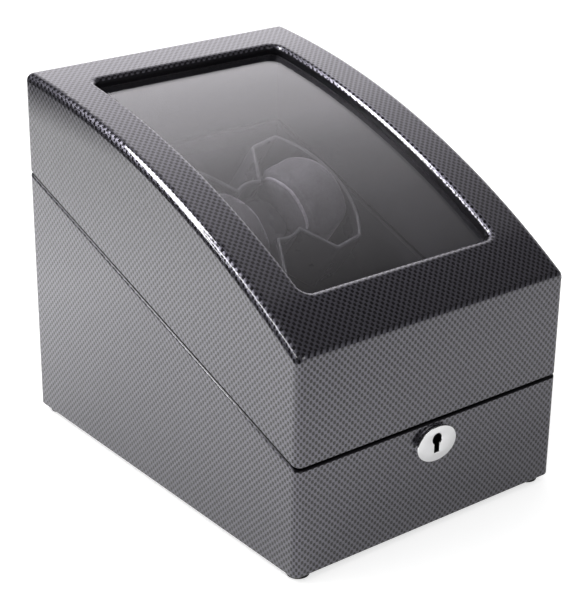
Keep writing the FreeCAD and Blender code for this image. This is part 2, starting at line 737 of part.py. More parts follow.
def mode_knob():
    z0 = CONTROL_Z + NECK_PROUD + SLIDE
    z1 = z0 + KNOB_HEIGHT
    knob = placed(cone(KNOB_RADIUS, KNOB_TOP, 0, KNOB_HEIGHT), at(0, 0, z0))
    top = [e for e in knob.Edges if abs(e.BoundBox.ZMin - z1) < 1e-4]
    knob = knob.makeFillet(KNOB_EDGE, top)
    stem = SHELF_Z - BOARD_THICK - SWITCH_DEPTH / 2 + SLIDE
    spindle = rod(SPINDLE_RADIUS, stem, z0 + KNOB_HEIGHT / 2)
    mark = block(-KNOB_MARK_HALF, KNOB_MARK_HALF, KNOB_MARK_IN, KNOB_RADIUS, z1 - KNOB_MARK_DEPTH, z1)
    turn = Placement(Vector(KNOB_X, CONTROL_Y, 0), Rotation(Z_AXIS, KNOB_STEP * (KNOB_STEPS - 1) / 2))
    return placed(knob.fuse(spindle).removeSplitter().cut(mark), turn)


def rocker_frame():
    x = ROCKER_HALF_X + SLIDE
    y = ROCKER_HALF_Y + 2 * SLIDE
    rim = ROCKER_WALL + ROCKER_BEZEL
    bezel = block(ROCKER_X - x - rim, ROCKER_X + x + rim, CONTROL_Y - y - rim, CONTROL_Y + y + rim,
                  CONTROL_Z, CONTROL_Z + ROCKER_BEZEL)
    bezel = bezel.makeFillet(ROCKER_CORNER, [e for e in bezel.Edges if upright(e)])
    room = block(ROCKER_X - x, ROCKER_X + x, CONTROL_Y - y, CONTROL_Y + y,
                 CONTROL_Z - ROCKER_DEPTH + ROCKER_WALL, CONTROL_Z + ROCKER_BEZEL)
    reach = x + ROCKER_WALL
    axle = Part.makeCylinder(ROCKER_PIVOT + RUN, 2 * reach,
                             Vector(ROCKER_X - reach, CONTROL_Y, CONTROL_Z), X_AXIS)
    return fuse_all([bezel, rocker_well()]).cut(room).cut(axle)


def power_rocker():
    y = ROCKER_HALF_Y
    high = ROCKER_BEZEL + y * math.sin(math.radians(ROCKER_TILT)) * 0.6
    waist = high - y * math.tan(math.radians(ROCKER_TILT))
    points = [(-y, high), (0, waist), (y, high), (y * 0.8, -y / 2), (-y * 0.8, -y / 2)]
    body = prism_x(points, -ROCKER_HALF_X, ROCKER_HALF_X)
    reach = ROCKER_HALF_X + SLIDE + ROCKER_WALL * 0.8
    axle = Part.makeCylinder(ROCKER_PIVOT, 2 * reach, Vector(-reach, 0, 0), X_AXIS)
    body = body.fuse(axle).removeSplitter()
    return placed(body, Placement(Vector(ROCKER_X, CONTROL_Y, CONTROL_Z), Rotation(X_AXIS, -ROCKER_TILT)))


# Circuit board on posts under the shelf
def pcb_corners():
    y = -IN_Y + PCB_SETBACK
    return [(sx * (PCB_HALF_X - POST_INSET), y + sy * (PCB_HALF_Y - POST_INSET))
            for sx in (-1, 1) for sy in (-1, 1)]


def pcb_pins(grow=0.0):
    return [rod(POST_PIN + grow, FLOOR_Z - BOTTOM_THICK / 2, FLOOR_Z, x, y) for x, y in pcb_corners()]


def board_posts():
    posts = []
    for (x, y), pin in zip(pcb_corners(), pcb_pins()):
        body = rod(POST_RADIUS, FLOOR_Z, FLOOR_Z + PCB_RISE, x, y).fuse(pin)
        tip = rod(POST_PIN, FLOOR_Z + PCB_RISE, FLOOR_Z + PCB_RISE + PCB_THICK + POST_PROUD, x, y)
        posts.append(body.fuse(tip))
    return posts


def control_board():
    y = -IN_Y + PCB_SETBACK
    z0 = FLOOR_Z + PCB_RISE
    z1 = z0 + PCB_THICK
    board = block(-PCB_HALF_X, PCB_HALF_X, y - PCB_HALF_Y, y + PCB_HALF_Y, z0, z1)
    board = cut_all(board, [rod(POST_PIN + SEAT, 0, BIG, px, py) for px, py in pcb_corners()])
    parts = [block(-CHIP_HALF_X, CHIP_HALF_X, y - CHIP_HALF_Y, y + CHIP_HALF_Y, z1, z1 + CHIP_HEIGHT)]
    parts += [rod(CAN_RADIUS, z1, z1 + CAN_HEIGHT, CAN_X, y + back) for back in CAN_PLACES]
    for half, back in PLUGS:
        parts.append(block(PLUG_X - half, PLUG_X + half, y + back - PLUG_HALF_Y, y + back + PLUG_HALF_Y,
                           z1, z1 + PLUG_HEIGHT))
    return fuse_all([board] + parts)


# Power inlet in the back wall
def dc_jack():
    inner = HALF_D - BASE_WALL - LINER_THICK - JACK_INSIDE
    flange_y = HALF_D - JACK_FLANGE_THICK
    body = fuse_all([jack_bore(JACK_RADIUS, inner, flange_y), jack_bore(JACK_FLANGE, flange_y, HALF_D)])
    body = body.cut(jack_bore(JACK_SOCKET, HALF_D - JACK_SOCKET_DEPTH, HALF_D))
    return fuse_all([body, jack_bore(JACK_PIN, HALF_D - JACK_SOCKET_DEPTH, HALF_D - JACK_PIN_SETBACK)])


def jack_nut():
    turns = [math.radians(60 * i) for i in range(6)]
    corners = [(JACK_NUT * math.cos(turn), JACK_NUT * math.sin(turn)) for turn in turns]
    nut = prism_z(corners, 0, JACK_NUT_THICK).cut(rod(JACK_RADIUS + SEAT, 0, JACK_NUT_THICK))
    place = Placement(Vector(JACK_X, IN_Y, FOOT_HEIGHT + JACK_HEIGHT), Rotation(X_AXIS, 90))
    return placed(nut, place)


# Lid body
def frame_screw_places():
    side = WIN_HALF + (PANE_LAP + FRAME_LAP) / 2
    lap = (PANE_LAP + FRAME_LAP) / 2 / LID_RADIUS
    spots = []
    for i in range(FRAME_SCREWS):
        angle = WIN_BACK + (WIN_FRONT - WIN_BACK) * (i + 0.5) / FRAME_SCREWS
        spots += [(-side, angle), (side, angle)]
    spots += [(-WIN_HALF / 2, WIN_BACK - lap), (WIN_HALF / 2, WIN_BACK - lap)]
    spots += [(-WIN_HALF / 2, WIN_FRONT + lap), (WIN_HALF / 2, WIN_FRONT + lap)]
    return spots


def frame_screws(grow=0.0):
    shape = flat_screw(SCREW_FRAME, grow)
    solids = []
    for x, angle in frame_screw_places():
        spot = arc_point(angle, FRAME_R, x)
        inward = Vector(0, -math.cos(angle), -math.sin(angle))
        solids.append(placed(shape, at(spot.x, spot.y, spot.z, inward)))
    return solids


def window_cut():
    cut = sector(FRAME_R - LID_TOP, LID_RADIUS + LID_TOP, 0, WIN_HALF)
    radial = [e for e in cut.Edges if len(e.Vertexes) == 2 and abs(e.Vertexes[0].X - e.Vertexes[1].X) < 1e-6
              and e.Curve.TypeId == "Part::GeomLine"]
    return cut.makeFillet(WINDOW_CORNER, radial)


def lid_shell():
    low = PARTING_GAP / 2
    shell = lid_block(0, LID_RADIUS, low)
    sides = [e for e in shell.Edges if on_arc(e, LID_RADIUS)
             and abs(e.Vertexes[0].X - e.Vertexes[-1].X) < 1e-6]
    shell = shell.makeFillet(LID_EDGE_RADIUS, sides)
    for side in (-1, 1):
        chain = [e for e in shell.Edges if all(abs(v.Y - side * HALF_D) < 1e-4 for v in e.Vertexes)
                 and not on_parting(e, low)]
        shell = shell.makeFillet(CORNER_RADIUS, chain)
    shell = shell.makeFillet(RIM_RADIUS, [e for e in shell.Edges if on_parting(e, low)])
    shell = shell.cut(window_cut())
    mouth = [e for e in shell.Edges if on_arc(e, LID_RADIUS) and abs(e.CenterOfMass.x) < WIN_HALF + 1e-3
             and -HALF_D + WINDOW_FRONT - 1 < e.CenterOfMass.y < HALF_D - WINDOW_BACK + 1]
    shell = shell.makeFillet(WINDOW_EDGE, mouth)
    tools = [lid_block(LID_WALL, UNDER_R, -BASE_WALL)]
    tools += [placed(hinge_mortise(1), hinge_at(i)) for i in (-1, 1)] + hinge_screws(1, SEAT)
    tools += [strike_plate(REST), lid_bolt_pocket()] + strike_screws(SEAT) + frame_screws(SEAT)
    return cut_all(shell, tools)


def lid_lining():
    outer = lid_block(LID_WALL, UNDER_R - GLUE, LINING_SETBACK)
    x, y = HALF_W - LID_WALL - LINING_THICK, HALF_D - LID_WALL - LINING_THICK
    return outer.cut(block(-x, x, -y, y, 0, BIG))


def window_pane():
    return sector(PANE_R - PANE_THICK, PANE_R, PANE_LAP, WIN_HALF + PANE_LAP)


def pane_frame():
    frame = sector(FRAME_R, PANE_R, FRAME_LAP, WIN_HALF + FRAME_LAP)
    seat = sector(PANE_R - PANE_THICK - REST, PANE_R + REST, PANE_LAP + REST, WIN_HALF + PANE_LAP + REST)
    return cut_all(frame, [seat, window_cut()] + frame_screws(SEAT))


def lock_strike():
    return cut_all(strike_plate(), [lid_bolt_pocket()] + strike_screws(SEAT))


# Turntable body
def lobes(inset, z0, z1, corner):
    run = math.hypot(NOTCH_OUTER - NOTCH_INNER, TRAY_HALF - NOTCH_BASE)
    shift = inset * run / (TRAY_HALF - NOTCH_BASE)
    grade = (NOTCH_OUTER - NOTCH_INNER) / (TRAY_HALF - NOTCH_BASE)
    half = TRAY_HALF - inset
    body = rod(TRAY_RADIUS - inset, z0, z1).common(block(-TRAY_RADIUS, TRAY_RADIUS, -half, half, z0, z1))
    for side in (-1, 1):
        base, top = NOTCH_BASE - inset, TRAY_RADIUS
        inner = NOTCH_INNER + shift + (base - NOTCH_BASE) * grade
        outer = NOTCH_INNER + shift + (top - NOTCH_BASE) * grade
        low, high = side * base, side * top
        corners = [(-inner, low), (inner, low), (outer, high), (-outer, high)]
        body = body.cut(prism_z(corners, z0, z1))
    rounded = [e for e in body.Edges if upright(e) and abs(e.CenterOfMass.x) > NOTCH_INNER + shift + 1]
    return body.makeFillet(corner, rounded)


def rotor_tray():
    outer = lobes(0, -TRAY_DEPTH, 0, TRAY_CORNER).fuse(rod(HUB_RADIUS, -TRAY_DEPTH, 0)).removeSplitter()
    feet = [e for e in outer.Edges if all(abs(v.Z + TRAY_DEPTH) < 1e-4 for v in e.Vertexes)]
    outer = outer.makeFillet(TRAY_FOOT_RADIUS, feet)
    pocket = lobes(TRAY_WALL, -POCKET_DEPTH, TRAY_WALL, TRAY_CORNER - TRAY_WALL / 2)
    far = TRAY_RADIUS + 1
    pockets = [pocket.common(block(POCKET_START, far, -far, far, -TRAY_DEPTH, far)),
               pocket.common(block(-far, -POCKET_START, -far, far, -TRAY_DEPTH, far))]
    recess = lobes(TRAY_WALL, -HUB_RECESS, TRAY_WALL, TRAY_CORNER - TRAY_WALL / 2)
    recess = recess.fuse(rod(HUB_RADIUS - TRAY_WALL, -HUB_RECESS, TRAY_WALL))
    recess = recess.common(block(-POCKET_START - 1, POCKET_START + 1, -far, far, -HUB_RECESS, far))
    tray = cut_all(outer, pockets + [recess])
    tray = tray.fuse(rod(HUB_BOSS_RADIUS, HUB_FOOT, -TRAY_DEPTH)).removeSplitter()
    head, shank, length = SCREW_MID
    return cut_all(tray, [rod(SHAFT_RADIUS + SEAT, HUB_FOOT, -SHAFT_SEAT), rod(shank + SEAT, -SHAFT_SEAT, 0)])


def rotor_screw():
    return placed(round_screw(SCREW_MID, SCREW_HEAD_MID), at(0, 0, -HUB_RECESS))


def hub_cap():
    cap = rod(CAP_RADIUS, -HUB_RECESS, -HUB_RECESS + CAP_THICK)
    edge = [e for e in cap.Edges if abs(e.BoundBox.ZMin + HUB_RECESS - CAP_THICK) < 1e-4]
    cap = cap.makeFillet(CAP_THICK / 3, edge)
    head, shank, length = SCREW_MID
    cap = cap.cut(rod(head + SLIDE, -HUB_RECESS, -HUB_RECESS + SCREW_HEAD_MID + SLIDE))
    return cap.common(block(-POCKET_START, POCKET_START, -CAP_RADIUS, CAP_RADIUS, -HUB_RECESS, 0))


def rotor_shaft():
    shaft = rod(SHAFT_RADIUS, SHAFT_END, -SHAFT_SEAT)
    head, shank, length = SCREW_MID
    tapped = rod(shank + SEAT, -HUB_RECESS - length - SLIDE, -SHAFT_SEAT)
    groove = ring(SHAFT_RADIUS - CLIP_GROOVE, SHAFT_RADIUS + 1, CLIP_TOP - CLIP_THICK - SEAT, CLIP_TOP + SEAT)
    return cut_all(shaft, [tapped, groove])


def shaft_clip():
    clip = ring(SHAFT_RADIUS - CLIP_GROOVE + SEAT, CLIP_RADIUS, CLIP_TOP - CLIP_THICK, CLIP_TOP)
    gap = SHAFT_RADIUS * 0.6
    return clip.cut(block(-gap, gap, 0, CLIP_RADIUS + 1, CLIP_TOP - CLIP_THICK, CLIP_TOP))


def gear_profile(teeth, phase):
    pitch = GEAR_MODULE * teeth / 2
    base = pitch * math.cos(math.radians(20))
    tip, root = pitch + GEAR_MODULE, pitch - 1.25 * GEAR_MODULE
    involute = lambda r: math.tan(math.acos(base / r)) - math.acos(base / r)
    half_pitch = math.pi / (2 * teeth) - TOOTH_BACKLASH / (4 * pitch)
    start = max(root, base)
    radii = [start + (tip - start) * i / 3 for i in range(4)]
    flank = [(r, half_pitch + involute(pitch) - involute(r)) for r in radii]
    if root < base:
        flank.insert(0, (root, flank[0][1]))
    points = []
    for i in range(teeth):
        centre = phase + 2 * math.pi * i / teeth
        for r, a in flank:
            points.append((r * math.cos(centre - a), r * math.sin(centre - a)))
        for r, a in reversed(flank):
            points.append((r * math.cos(centre + a), r * math.sin(centre + a)))
    return points


def drive_gear():
    gear = prism_z(gear_profile(GEAR_TEETH, 0), GEAR_TOP - GEAR_FACE, GEAR_TOP)
    gear = gear.fuse(rod(GEAR_HUB_RADIUS, GEAR_TOP - GEAR_FACE - GEAR_HUB, GEAR_TOP))
    web = (GEAR_HUB_RADIUS + GEAR_MODULE * GEAR_TEETH / 2 - 2.5 * GEAR_MODULE) / 2
    hole = (GEAR_MODULE * GEAR_TEETH / 2 - 4 * GEAR_MODULE - GEAR_HUB_RADIUS) / 2
    tools = [rod(SHAFT_RADIUS + SEAT, GEAR_TOP - 2 * GEAR_FACE, GEAR_TOP)]
    for i in range(6):
        angle = math.radians(60 * i)
        tools.append(rod(hole, GEAR_TOP - GEAR_FACE, GEAR_TOP, web * math.cos(angle), web * math.sin(angle)))
    return cut_all(gear, tools)


# Pillows in the two pockets, lofted through lines and arcs
def pillow_section(x, half, crown):
    foot_z = -POCKET_DEPTH + SLIDE
    r = PILLOW_FOOT_RADIUS
    k = r * (1 - math.sqrt(0.5))

    def p(y, z):
        return Vector(x, y, z)

    shoulder = -PILLOW_SINK
    edges = [
        Part.makeLine(p(-half + r, foot_z), p(half - r, foot_z)),
        Part.Arc(p(half - r, foot_z), p(half - k, foot_z + k), p(half, foot_z + r)).toShape(),
        Part.makeLine(p(half, foot_z + r), p(half, shoulder)),
        Part.Arc(p(half, shoulder), p(0, crown), p(-half, shoulder)).toShape(),
        Part.makeLine(p(-half, shoulder), p(-half, foot_z + r)),
        Part.Arc(p(-half, foot_z + r), p(-half + k, foot_z + k), p(-half + r, foot_z)).toShape(),
    ]
    return Part.Wire(edges)


def pillow(side):
    wires = [pillow_section(POCKET_START + dx, half, crown) for dx, half, crown in PILLOW_SECTIONS]
    body = Part.makeLoft(wires, True, False)
    return placed(body, Placement(Vector(0, 0, 0), Rotation(Z_AXIS, 0 if side > 0 else 180)))


# Drive under the panel
def bush(flange_seat, end):
    top = flange_seat + BUSH_FLANGE_THICK
    body = rod(BUSH_RADIUS, end, flange_seat).fuse(rod(BUSH_FLANGE, flange_seat, top))
    return body.removeSplitter().cut(rod(SHAFT_RADIUS + RUN, end, top))


def thrust_washer():
    return ring(SHAFT_RADIUS + SLIDE, WASHER_RADIUS, WASHER_TOP - WASHER_THICK, WASHER_TOP)


def plate_corners():
    x0, x1, y = -PLATE_LEFT + SPACER_INSET, PLATE_RIGHT - SPACER_INSET, PLATE_HALF - SPACER_INSET
    return [(x0, -y), (x1, -y), (x0, y), (x1, y)]


def plate_screws(grow=0.0):
    shape = placed(round_screw(SCREW_PLATE, SCREW_HEAD_MID, grow), at(0, 0, 0, Vector(0, 0, -1)))
    return [placed(shape, DRIVE_FRAME.multiply(at(x, y, PLATE_UNDER))) for x, y in plate_corners()]


def plate_spacers():
    head, shank, length = SCREW_MID
    return [placed(ring(shank + SEAT, SPACER_RADIUS, PLATE_TOP, PANEL_UNDER, x, y), DRIVE_FRAME)
            for x, y in plate_corners()]


def gearbox_screw_spots():
    reach = GEARBOX_RADIUS * 0.72
    return [(GEAR_CENTRE + GEARBOX_OFFSET + reach * math.cos(a), reach * math.sin(a))
            for a in (math.radians(50), math.radians(-50), math.radians(130), math.radians(-130))]


def gearbox_screws(grow=0.0):
    shape = round_screw(SCREW_GEARBOX, SCREW_HEAD_GEARBOX, grow)
    return [placed(shape, DRIVE_FRAME.multiply(at(x, y, PLATE_TOP))) for x, y in gearbox_screw_spots()]


def motor_plate():
    plate = block(-PLATE_LEFT, PLATE_RIGHT, -PLATE_HALF, PLATE_HALF, PLATE_UNDER, PLATE_TOP)
    plate = plate.makeFillet(SPACER_INSET * 0.6, [e for e in plate.Edges if upright(e)])
    plate = cut_all(plate, [rod(BUSH_RADIUS + SEAT, PLATE_UNDER, PLATE_TOP),
                            rod(GEARBOX_BOSS + SEAT, PLATE_UNDER, PLATE_TOP, GEAR_CENTRE)])
    return cut_all(placed(plate, DRIVE_FRAME), plate_screws(SEAT) + gearbox_screws(SEAT))


def gearbox_case():
    x = GEAR_CENTRE + GEARBOX_OFFSET
    boss = rod(GEARBOX_BOSS, PLATE_UNDER, PLATE_TOP, GEAR_CENTRE)
    case = rod(GEARBOX_RADIUS, GEARBOX_END, PLATE_UNDER, x).fuse(boss).removeSplitter()
    case = case.cut(rod(OUTPUT_RADIUS + RUN, PLATE_UNDER - OUTPUT_DEPTH - SLIDE, PLATE_TOP, GEAR_CENTRE))
    return cut_all(placed(case, DRIVE_FRAME), gearbox_screws(SEAT))


def motor_can():
    x = GEAR_CENTRE + GEARBOX_OFFSET
    end = GEARBOX_END - MOTOR_LENGTH
    can = rod(MOTOR_RADIUS, end, GEARBOX_END, x)
    can = can.makeFillet(MOTOR_EDGE, [e for e in can.Edges if abs(e.BoundBox.ZMax - end) < 1e-4])
    tail = rod(MOTOR_TAIL_RADIUS, end - MOTOR_TAIL, end, x)
    half = TAB_THICK / 2
    tabs = [block(x - half, x + half, y - TAB_HALF, y + TAB_HALF, end - TAB_LENGTH, end)
            for y in (-TAB_OUT, TAB_OUT)]
    return placed(fuse_all([can, tail] + tabs), DRIVE_FRAME)


def motor_pinion():
    phase = math.pi / PINION_TEETH
    pinion = prism_z(gear_profile(PINION_TEETH, phase), GEAR_TOP - GEAR_FACE - PINION_PROUD, GEAR_TOP)
    stem = rod(OUTPUT_RADIUS, PLATE_UNDER - OUTPUT_DEPTH, GEAR_TOP)
    return placed(pinion.fuse(stem).removeSplitter(), DRIVE_FRAME.multiply(at(GEAR_CENTRE, 0, 0)))


# All nodes
def build():
    turned = lambda shape: placed(shape, ROTOR_FRAME)
    fixed = lambda shape: placed(shape, DRIVE_FRAME)
    group = Part.makeCompound
    feet = [placed(foot(), at(x, y, 0)) for x, y in foot_places()]
    nodes = {
        "base_shell": base_shell(),
        "base_bottom": base_bottom(),
        "bottom_screws": group(bottom_screws()),
        "foot_front_left": feet[0],
        "foot_front_right": feet[1],
        "foot_rear_left": feet[2],
        "foot_rear_right": feet[3],
        "foot_screws": group(foot_screws()),
        "base_liner": base_liner(),
        "lid_bumpers": group(bumpers()),
        "rotor_panel": rotor_panel(),
        "control_shelf": control_shelf(),
        "shelf_cleats": group(shelf_cleats()),
        "panel_cleat": panel_cleat(),
        "control_plate": control_plate(),
        "switch_body": switch_body(),
        "rocker_frame": rocker_frame(),
        "control_board": control_board(),
        "board_posts": group(board_posts()),
        "dc_jack": dc_jack(),
        "jack_nut": jack_nut(),
        "lock_escutcheon": lock_escutcheon(),
        "lock_case": lock_case(),
        "lock_case_screws": group(case_screws()),
        "hinge_base_leaf_left": placed(hinge_leaf(-1, True), hinge_at(-1)),
        "hinge_base_leaf_right": placed(hinge_leaf(-1, True), hinge_at(1)),
        "hinge_base_screws": group(hinge_screws(-1)),
        "upper_bush": fixed(bush(PANEL_TOP, PANEL_UNDER)),
        "thrust_washer": fixed(thrust_washer()),
        "motor_plate": motor_plate(),
        "plate_spacers": group(plate_spacers()),
        "plate_screws": group(plate_screws()),
        "lower_bush": fixed(bush(PLATE_TOP, LOWER_BUSH_END)),
        "gearbox_case": gearbox_case(),
        "gearbox_screws": group(gearbox_screws()),
        "motor_can": motor_can(),
        "lid_shell": lid_shell(),
        "lid_lining": lid_lining(),
        "window_pane": window_pane(),
        "pane_frame": pane_frame(),
        "pane_frame_screws": group(frame_screws()),
        "lock_strike": lock_strike(),
        "strike_screws": group(strike_screws()),
        "hinge_lid_leaf_left": placed(hinge_leaf(1, False), hinge_at(-1)),
        "hinge_lid_leaf_right": placed(hinge_leaf(1, False), hinge_at(1)),
        "hinge_lid_screws": group(hinge_screws(1)),
        "rotor_tray": turned(rotor_tray()),
        "hub_cap": turned(hub_cap()),
        "rotor_screw": turned(rotor_screw()),
        "rotor_shaft": turned(rotor_shaft()),
        "drive_gear": fixed(drive_gear()),
        "shaft_clip": turned(shaft_clip()),
        "pillow_right": turned(pillow(1)),
        "pillow_left": turned(pillow(-1)),
        "motor_pinion": motor_pinion(),
        "lock_bolt": lock_bolt(),
        "mode_knob": mode_knob(),
        "power_rocker": power_rocker(),
    }
    for side, name in ((-1, "left"), (1, "right")):
        pin = Part.makeCylinder(HINGE_PIN, HINGE_WIDTH, Vector(-HINGE_WIDTH / 2, 0, 0), X_AXIS)
        nodes["hinge_pin_" + name] = placed(pin, hinge_at(side))
    return nodes


os.makedirs("parts", exist_ok=True)
for node, shape in build().items():
    shape.exportStep("parts/" + node + ".step")
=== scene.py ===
"""Watch winder box: finishes, pillows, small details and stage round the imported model."""

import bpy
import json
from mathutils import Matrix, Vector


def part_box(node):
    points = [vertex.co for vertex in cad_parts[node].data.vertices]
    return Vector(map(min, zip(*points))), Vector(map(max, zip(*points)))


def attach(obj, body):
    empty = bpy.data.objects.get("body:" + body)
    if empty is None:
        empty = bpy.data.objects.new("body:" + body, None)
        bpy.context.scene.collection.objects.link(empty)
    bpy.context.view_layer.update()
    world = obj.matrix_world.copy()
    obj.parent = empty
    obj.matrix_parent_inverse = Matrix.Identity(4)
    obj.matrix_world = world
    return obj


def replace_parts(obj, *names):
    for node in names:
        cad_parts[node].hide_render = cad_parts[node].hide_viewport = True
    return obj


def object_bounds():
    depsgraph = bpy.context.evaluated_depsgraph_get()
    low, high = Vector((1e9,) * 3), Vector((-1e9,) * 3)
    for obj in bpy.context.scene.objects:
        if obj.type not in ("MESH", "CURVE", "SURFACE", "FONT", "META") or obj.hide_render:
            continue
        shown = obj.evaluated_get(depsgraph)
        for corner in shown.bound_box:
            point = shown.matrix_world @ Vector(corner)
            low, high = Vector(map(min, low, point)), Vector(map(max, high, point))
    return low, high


bl_info = {
    "name": "Watch Winder Box",
    "version": (1, 0, 0),
    "blender": (4, 5, 0),
    "location": "View3D > Sidebar > Winder",
    "description": "Finishes, pillows, small details and stage of a lockable watch winder box",
    "category": "Object",
}

import json
import math

import bmesh
import bpy
from bpy.props import FloatProperty, FloatVectorProperty, IntProperty, PointerProperty
from mathutils import Matrix, Vector, noise
from mathutils.bvhtree import BVHTree

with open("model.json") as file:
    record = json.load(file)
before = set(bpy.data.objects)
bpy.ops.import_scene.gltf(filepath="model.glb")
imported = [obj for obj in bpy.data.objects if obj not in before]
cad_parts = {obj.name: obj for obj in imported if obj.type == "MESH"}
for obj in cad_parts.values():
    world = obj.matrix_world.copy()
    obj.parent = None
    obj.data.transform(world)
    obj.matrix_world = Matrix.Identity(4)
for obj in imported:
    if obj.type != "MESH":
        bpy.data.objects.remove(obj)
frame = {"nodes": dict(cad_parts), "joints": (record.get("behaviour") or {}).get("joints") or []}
CAD_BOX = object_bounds()
NODES = frame["nodes"]
JOINTS = {joint["name"]: joint for joint in frame["joints"]}
MM = 0.001

# Lid arc, as the model's own side view has it
LID_RADIUS = 425.0 * MM
LID_ARC_Y = 130.46 * MM
HALF_DEPTH = 102.2 * MM
FRONT_TOP = 104.2 * MM
LID_ARC_Z = FRONT_TOP - math.sqrt(LID_RADIUS ** 2 - (HALF_DEPTH + LID_ARC_Y) ** 2)

# Window opening in the lid, from the same side view
HALF_WIDTH = 75.0 * MM
WINDOW_HALF = 53.0 * MM
WINDOW_ENDS = (78.6 * MM, -78.2 * MM)
WINDOW_CORNER = 5.0 * MM
WINDOW_EDGE = 3.0 * MM
PANE_DEPTH = 4.58 * MM

# Parting between base and lid: height at the middle, slope, where the weave comes back beside it out of the
# painted shade along the parting, and the coat left in that painted shade
PARTING_MIDDLE = 89.45 * MM
PARTING_SLOPE = 0.34883
PARTING_SHADE = (0.75 * MM, 0.9 * MM)
PARTING_SHADE_COAT = 0.3

# Painted shade on the inner walls beside the parting, which turns them black: how far in it starts, and how
# far up and down it goes
INNER_START = 1.5 * MM
INNER_REACH = 9.0 * MM

# Painted shade down the window's wall: where round the window's edge the weave fades from black to full, from
# the wall to the lid, and how much coat is left in that painted shade
MOUTH_SHADE = (0.26, 0.42)
MOUTH_SHADE_COAT = 0.05

# Painted highlight on the window's right edge: across and along the box, where the mouth's tows go from plain
# to painted bright, and how much lighter they are painted
MOUTH_HIGHLIGHT_ACROSS = (50.0 * MM, 53.0 * MM)
MOUTH_HIGHLIGHT_ALONG = (65.0 * MM, 25.0 * MM)
MOUTH_HIGHLIGHT_GAIN = 2.0

# Weave: shape and tones of its tows, their fibres, and how much of it is left where it fades, in the painted
# shade beside the parting and down the window's wall
TOW_NARROW = 1.3
TOW_TALL = 0.6
TOW_CUT = -0.3
TOW_STOPS = (0.30, 0.46, 0.95)
TOW_TONES = (0.85, 1.10)
FIBRE_FINE = 9000.0
FIBRE_LONG = 420.0
FIBRE_TONE = 0.35
WEAVE_LEFT = 0.25

# Distance at which loose triangles join, and the angle from which an edge is sharp
WELD = 0.001 * MM
SHARP_ANGLE = math.radians(38.0)

# Turntable frame: Z along the axle, X across the two pillows, rim plane at Z = 0
AXLE = Vector(JOINTS["rotor_spin"]["axis"]).normalized()
RIM_CENTRE = Vector(JOINTS["rotor_spin"]["pos_m"])
ROTOR_TURN = math.radians(10.4)


def placed(at, across, upward):
    """A frame at a place, with its X and Z along two directions."""
    return Matrix.Translation(at) @ Matrix((across, upward.cross(across), upward)).transposed().to_4x4()


ROTOR = placed(RIM_CENTRE, Vector((1.0, 0.0, 0.0)), AXLE) @ Matrix.Rotation(ROTOR_TURN, 4, "Z")


def fitted(thing, **settings):
    """A thing with its settings filled in."""
    for name, value in settings.items():
        setattr(thing, name, value)
    return thing


# Properties
def number(name, description, default, **more):
    return FloatProperty(name=name, description=description, default=default, **more)


def length(name, description, default):
    return number(name, description, default, unit="LENGTH")


def colour(name, description, value):
    return FloatVectorProperty(name=name, description=description, default=value, subtype="COLOR",
                               size=3, min=0.0, max=1.0)


class WinderSizes(bpy.types.PropertyGroup):
    """Sizes of the woven pattern, the pillows and the small details."""

    tow_width: length("Tow width", "Width of one woven tow across the box", 1.58 * MM)
    tow_height: length("Tow height", "Width of one woven tow up the box", 1.59 * MM)
    pad_voxel: length("Pillow voxel", "Mesh size of the pillows before they swell", 1.2 * MM)
    pad_inset: length("Pillow inset", "How much smaller the pillows start", 0.7 * MM)
    pad_cap: length("Pillow swell", "Most that a point of a pillow may move", 1.1 * MM)
    welt_radius: length("Welt radius", "Radius of the piping on the pillow seams", 0.8 * MM)
    # Painted highlight: the piping on the pillows' inner ends is painted this much lighter, for the sheen
    # ridge along them
    welt_highlight: number("Welt tone", "How much lighter the rubbed piping is", 3.2)
    welt_in: length("Welt setback", "Distance of the piping from a pillow's ends", 1.5 * MM)
    stitch_pitch: length("Stitch pitch", "Distance between stitches", 2.2 * MM)
    stitch_length: length("Stitch length", "Length of one stitch", 1.5 * MM)
    stitch_radius: length("Stitch radius", "Radius of the thread", 0.17 * MM)
    stitch_in: length("Stitch setback", "Distance of the stitches from the piping", 1.9 * MM)
    rim_bead: length("Rim bead", "Radius of the round bead on the turntable's rim", 0.8 * MM)
    lock_proud: length("Lock plate", "How far the lock's plate stands out", 2.6 * MM)
    lock_round: length("Lock edge", "Radius of the rounding on the lock's plate", 0.45 * MM)
    grip_ribs: IntProperty(name="Grip ribs", description="Ribs round the knob", default=28, min=3)
    grip_rib_radius: length("Rib radius", "Radius of one rib of the knob", 0.55 * MM)
    digit_height: length("Digit height", "Height of the numbers round the knob", 3.4 * MM)


class WinderColours(bpy.types.PropertyGroup):
    """Colours of the finishes, as linear values."""

    tow_light: colour("Light tow", "Tows that catch the light", (0.152, 0.147, 0.175))
    tow_dark: colour("Dark tow", "Tows that cross under them", (0.018, 0.017, 0.020))
    # Painted highlight: the rim bead is painted lighter than the tray, for the bright line round the rim
    bead: colour("Rim bead", "Rubbed bead on the turntable's rim", (0.15, 0.15, 0.16))
    velvet: colour("Velvet", "Lining of the box", (0.026, 0.026, 0.030))
    suede: colour("Suede", "Cover of the pillows", (0.110, 0.106, 0.117))
    smoke: colour("Smoke", "Tint of the window", (0.80, 0.79, 0.81))
    plastic: colour("Plastic", "Black moulded plastic", (0.018, 0.018, 0.019))
    rubber: colour("Rubber", "Feet and bumpers", (0.012, 0.012, 0.012))
    chrome: colour("Chrome", "Lock and hinges", (0.86, 0.86, 0.87))
    steel: colour("Steel", "Pins, screws and plates", (0.55, 0.55, 0.57))
    brass: colour("Brass", "Bushes, spacers and pinion", (0.72, 0.52, 0.24))
    aluminium: colour("Aluminium", "Control plate", (0.60, 0.61, 0.63))
    tray: colour("Tray", "Turntable", (0.055, 0.054, 0.060))
    print_white: colour("Print", "Printed marks", (0.78, 0.78, 0.76))


